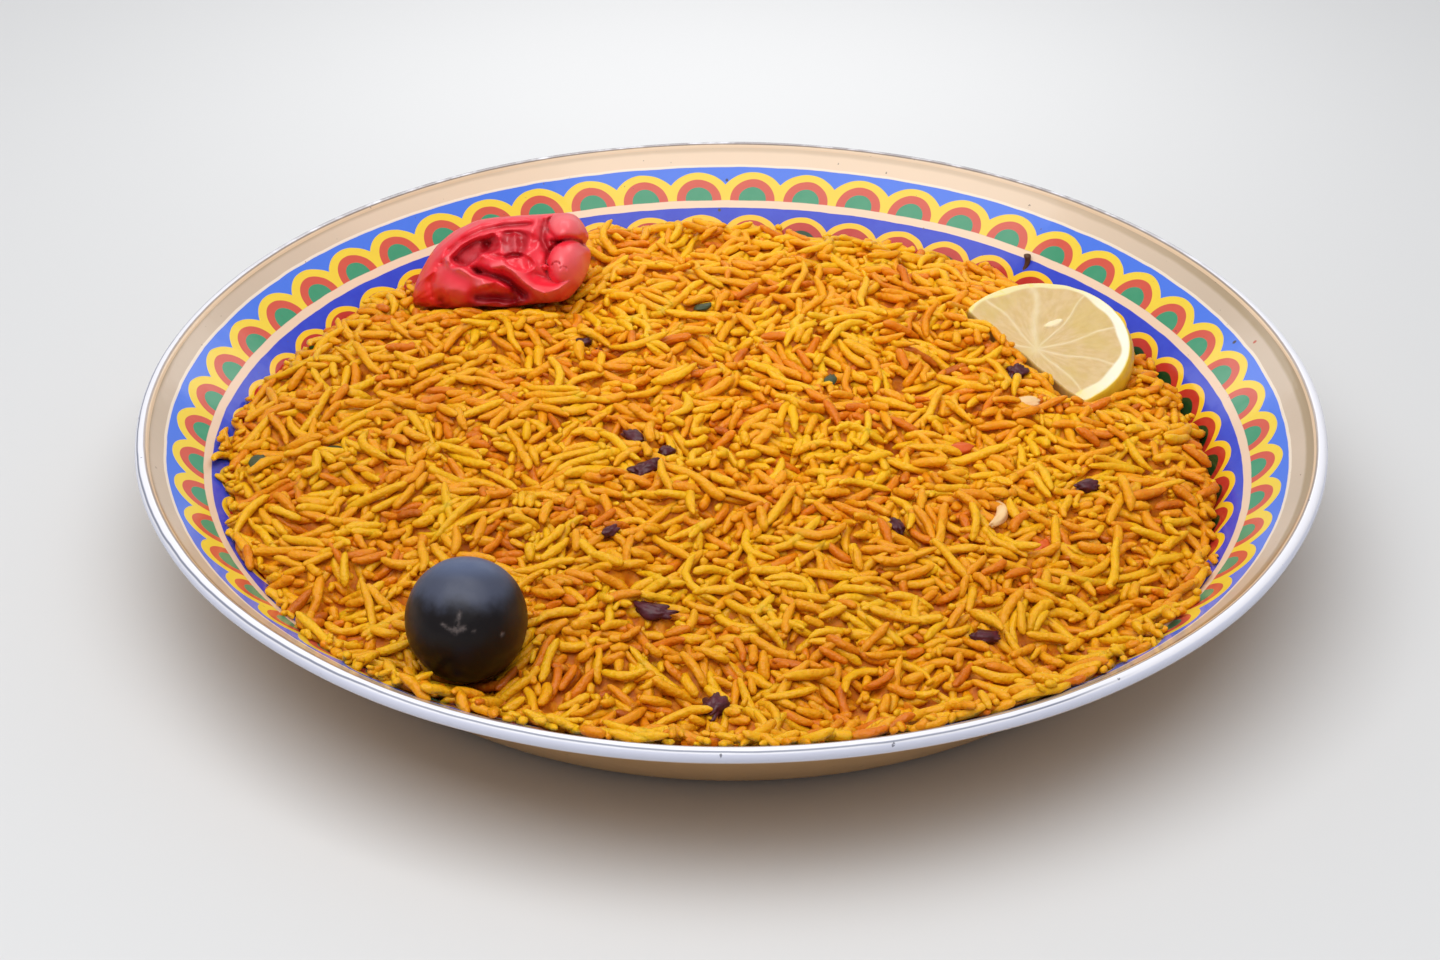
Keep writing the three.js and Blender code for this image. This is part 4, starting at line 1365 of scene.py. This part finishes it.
def scatter(bed, count, only=None):
    """Grains or crumbs anywhere on top, and one in nine of them along the edge."""
    rng = bed.rng
    for k in range(count):
        angle = rng.random() * TAU
        edge = loose_outline(angle)
        r = edge * math.sqrt(rng.random()) if k % 9 else edge + rng.uniform(-5, 1)
        x, y = r * math.cos(angle), r * math.sin(angle)
        if k % 9 and bed.wanted[cells_of(x, y)] < SHUT:
            continue
        kind = pick_kind(bed, 1.0, x, y) if only is None else only
        sizes = new_grain(rng, kind, 0.7)
        yaw = bed.flow[cells_of(x, y)] + rng.normal() * 0.9
        bed.lay(kind, x, y, *sizes, over=2.2, yaws=(yaw,), jumble=0.14)


def bundle(bed, count):
    """Clumps of two to seven grains that lie nearly side by side on top of the others."""
    rng = bed.rng
    for _ in range(count):
        angle = rng.random() * TAU
        r = (loose_outline(angle) - 5) * math.sqrt(rng.random())
        cx, cy = r * math.cos(angle), r * math.sin(angle)
        way = bed.flow[cells_of(cx, cy)] + rng.normal() * 0.8
        kind = pick_kind(bed, 1.0, cx, cy)
        lengths, widths, bends = RICE_KINDS[kind][3:6]
        bend = bends * rng.normal() * 0.6
        for _ in range(rng.integers(2, 8)):
            u, v = rng.normal() * 3.5, rng.normal() * 3.0
            x = cx + u * math.cos(way) - v * math.sin(way)
            y = cy + u * math.sin(way) + v * math.cos(way)
            if bed.wanted[cells_of(x, y)] < SHUT:
                continue
            length, width = rng.uniform(*lengths), rng.uniform(*widths)
            yaw = way + rng.normal() * 0.22
            one = bend * length / 12 + 0.3 * rng.normal()
            bed.lay(kind, x, y, length, width, one, over=3.4, yaws=(yaw,), jumble=0.07)


def make_rice(ceiling):
    """Grains in goes with the bits between, one piece for each kind, and the core.

    The first two goes fill the heap to 3.6 and 2.4 mm under its top and the last one to
    1 mm. Between them come the bits, the hollows, loose grains and clumps."""
    bed = Bed(ceiling, depth=4.6, seed=11)
    full = bed.wanted.copy()
    bed.wanted = full - 3.6
    fill(bed, 9000, 0.0)
    bed.wanted = np.where(full < SHUT, full, full - 2.4)
    fill(bed, 6000, 0.4)
    lay_bits(bed)
    leave_hollows(bed, 160)
    scatter(bed, 3500)
    bundle(bed, 1100)
    bed.wanted = np.where(bed.wanted < SHUT, bed.wanted, full - 1.0)
    fill(bed, 3000, 1.0, 1.5)
    scatter(bed, 3000, CRUMBS)
    for index, kind in enumerate(RICE_KINDS):
        chosen = [g for g in bed.grains if g[0] == index and shows(bed, g)][-KIND_LIMIT:]
        rings, sides = (CRUMB_RINGS, 6) if index == CRUMBS else (GRAIN_RINGS, 8)
        form, numbers = grain_forms(chosen, rings, sides, 100 + index)
        skin = rice_skin(kind[0].replace("_", " "), kind[6])
        add_piece(kind[0], form, [skin], "rice", numbers)
    make_core(bed)


# Stage, light and camera


def make_stage():
    """A plain pale floor."""
    mesh = bpy.data.meshes.new("floor")
    side = 4.0
    corners = [(-side, -side, 0), (side, -side, 0), (side, side, 0), (-side, side, 0)]
    mesh.from_pydata(corners, [], [(0, 1, 2, 3)])
    floor = bpy.data.objects.new("floor", mesh)
    bpy.context.scene.collection.objects.link(floor)
    paint = Paint("floor", Roughness=0.7, IOR=1.45)
    mesh.materials.append(paint.set(Base_Color=(0.64, 0.64, 0.64, 1.0)))


def add_light(name, place, aim, size, power):
    """A soft lamp of two side lengths that looks at a point."""
    lamp = bpy.data.lights.new(name, "AREA")
    lamp.shape = "RECTANGLE"
    lamp.size, lamp.size_y = size
    lamp.energy = power
    holder = bpy.data.objects.new(name, lamp)
    bpy.context.scene.collection.objects.link(holder)
    way = np.array(aim) - np.array(place)
    holder.location = place
    flat = math.hypot(way[0], way[1])
    spin = math.atan2(way[1], way[0]) - math.pi / 2 if flat > 1e-6 else 0
    holder.rotation_euler = (math.atan2(flat, -way[2]), 0, spin)


def make_light():
    """A pale studio: a little brighter behind, one large soft lamp overhead and in front,
    and one low lamp for the floor behind the plate."""
    world = bpy.data.worlds.new("studio")
    world.use_nodes = True
    tree = world.node_tree
    back = tree.nodes["Background"]
    back.inputs["Color"].default_value = (0.94, 0.96, 1.0, 1.0)
    coords = tree.nodes.new("ShaderNodeTexCoord")
    parts = tree.nodes.new("ShaderNodeSeparateXYZ")
    tree.links.new(coords.outputs["Generated"], parts.inputs[0])
    y, z = [Wire(tree, socket) for socket in parts.outputs[1:]]
    strength = 0.31 + (y + z * 0.6).step(-0.5, 0.9) * 0.20
    plug(tree, back.inputs["Strength"], strength)
    bpy.context.scene.world = world
    add_light("overhead", (-0.12, -0.3, 1.08), (0, -0.1, 0), (1.4, 1.1), 14.2)
    add_light("background", (0, 0.31, 0.2), (0, 0.3, 0), (0.3, 0.12), 0.24)


def make_camera():
    """At the photo's angle: 31.08 degrees above the horizon, 0.895 m from the plate's ring."""
    camera = bpy.data.cameras.new("camera")
    camera.lens = 82.02
    camera.sensor_width = 36
    camera.shift_x = -0.0076
    camera.shift_y = -0.0335
    camera.clip_start = 0.01
    holder = bpy.data.objects.new("camera", camera)
    bpy.context.scene.collection.objects.link(holder)
    rise = math.radians(31.082)
    away, ring_height = 0.89473, 0.031
    holder.location = (0, -away * math.cos(rise), ring_height + away * math.sin(rise))
    holder.rotation_mode = "XYZ"
    holder.rotation_euler = (math.pi / 2 - rise, 0, 0)
    holder.rotation_euler.rotate_axis("Z", math.radians(0.26))
    bpy.context.scene.camera = holder
    bpy.context.scene.view_settings.view_transform = "Standard"


make_plate()
pepper, fold = pepper_form()
add_piece("pepper", pepper, [pepper_skin()], "red_pepper", {"fold": fold})
lemon, lemon_numbers = lemon_form()
add_piece("lemon", lemon, [lemon_flesh()], "lemon_slice", lemon_numbers)
lime, scar = lime_form()
add_piece("lime", lime, [lime_skin()], "black_lime", {"scar": scar})
make_rice(undersides(pepper[0], lemon[0]))
make_clove()
make_stage()
make_light()
make_camera()
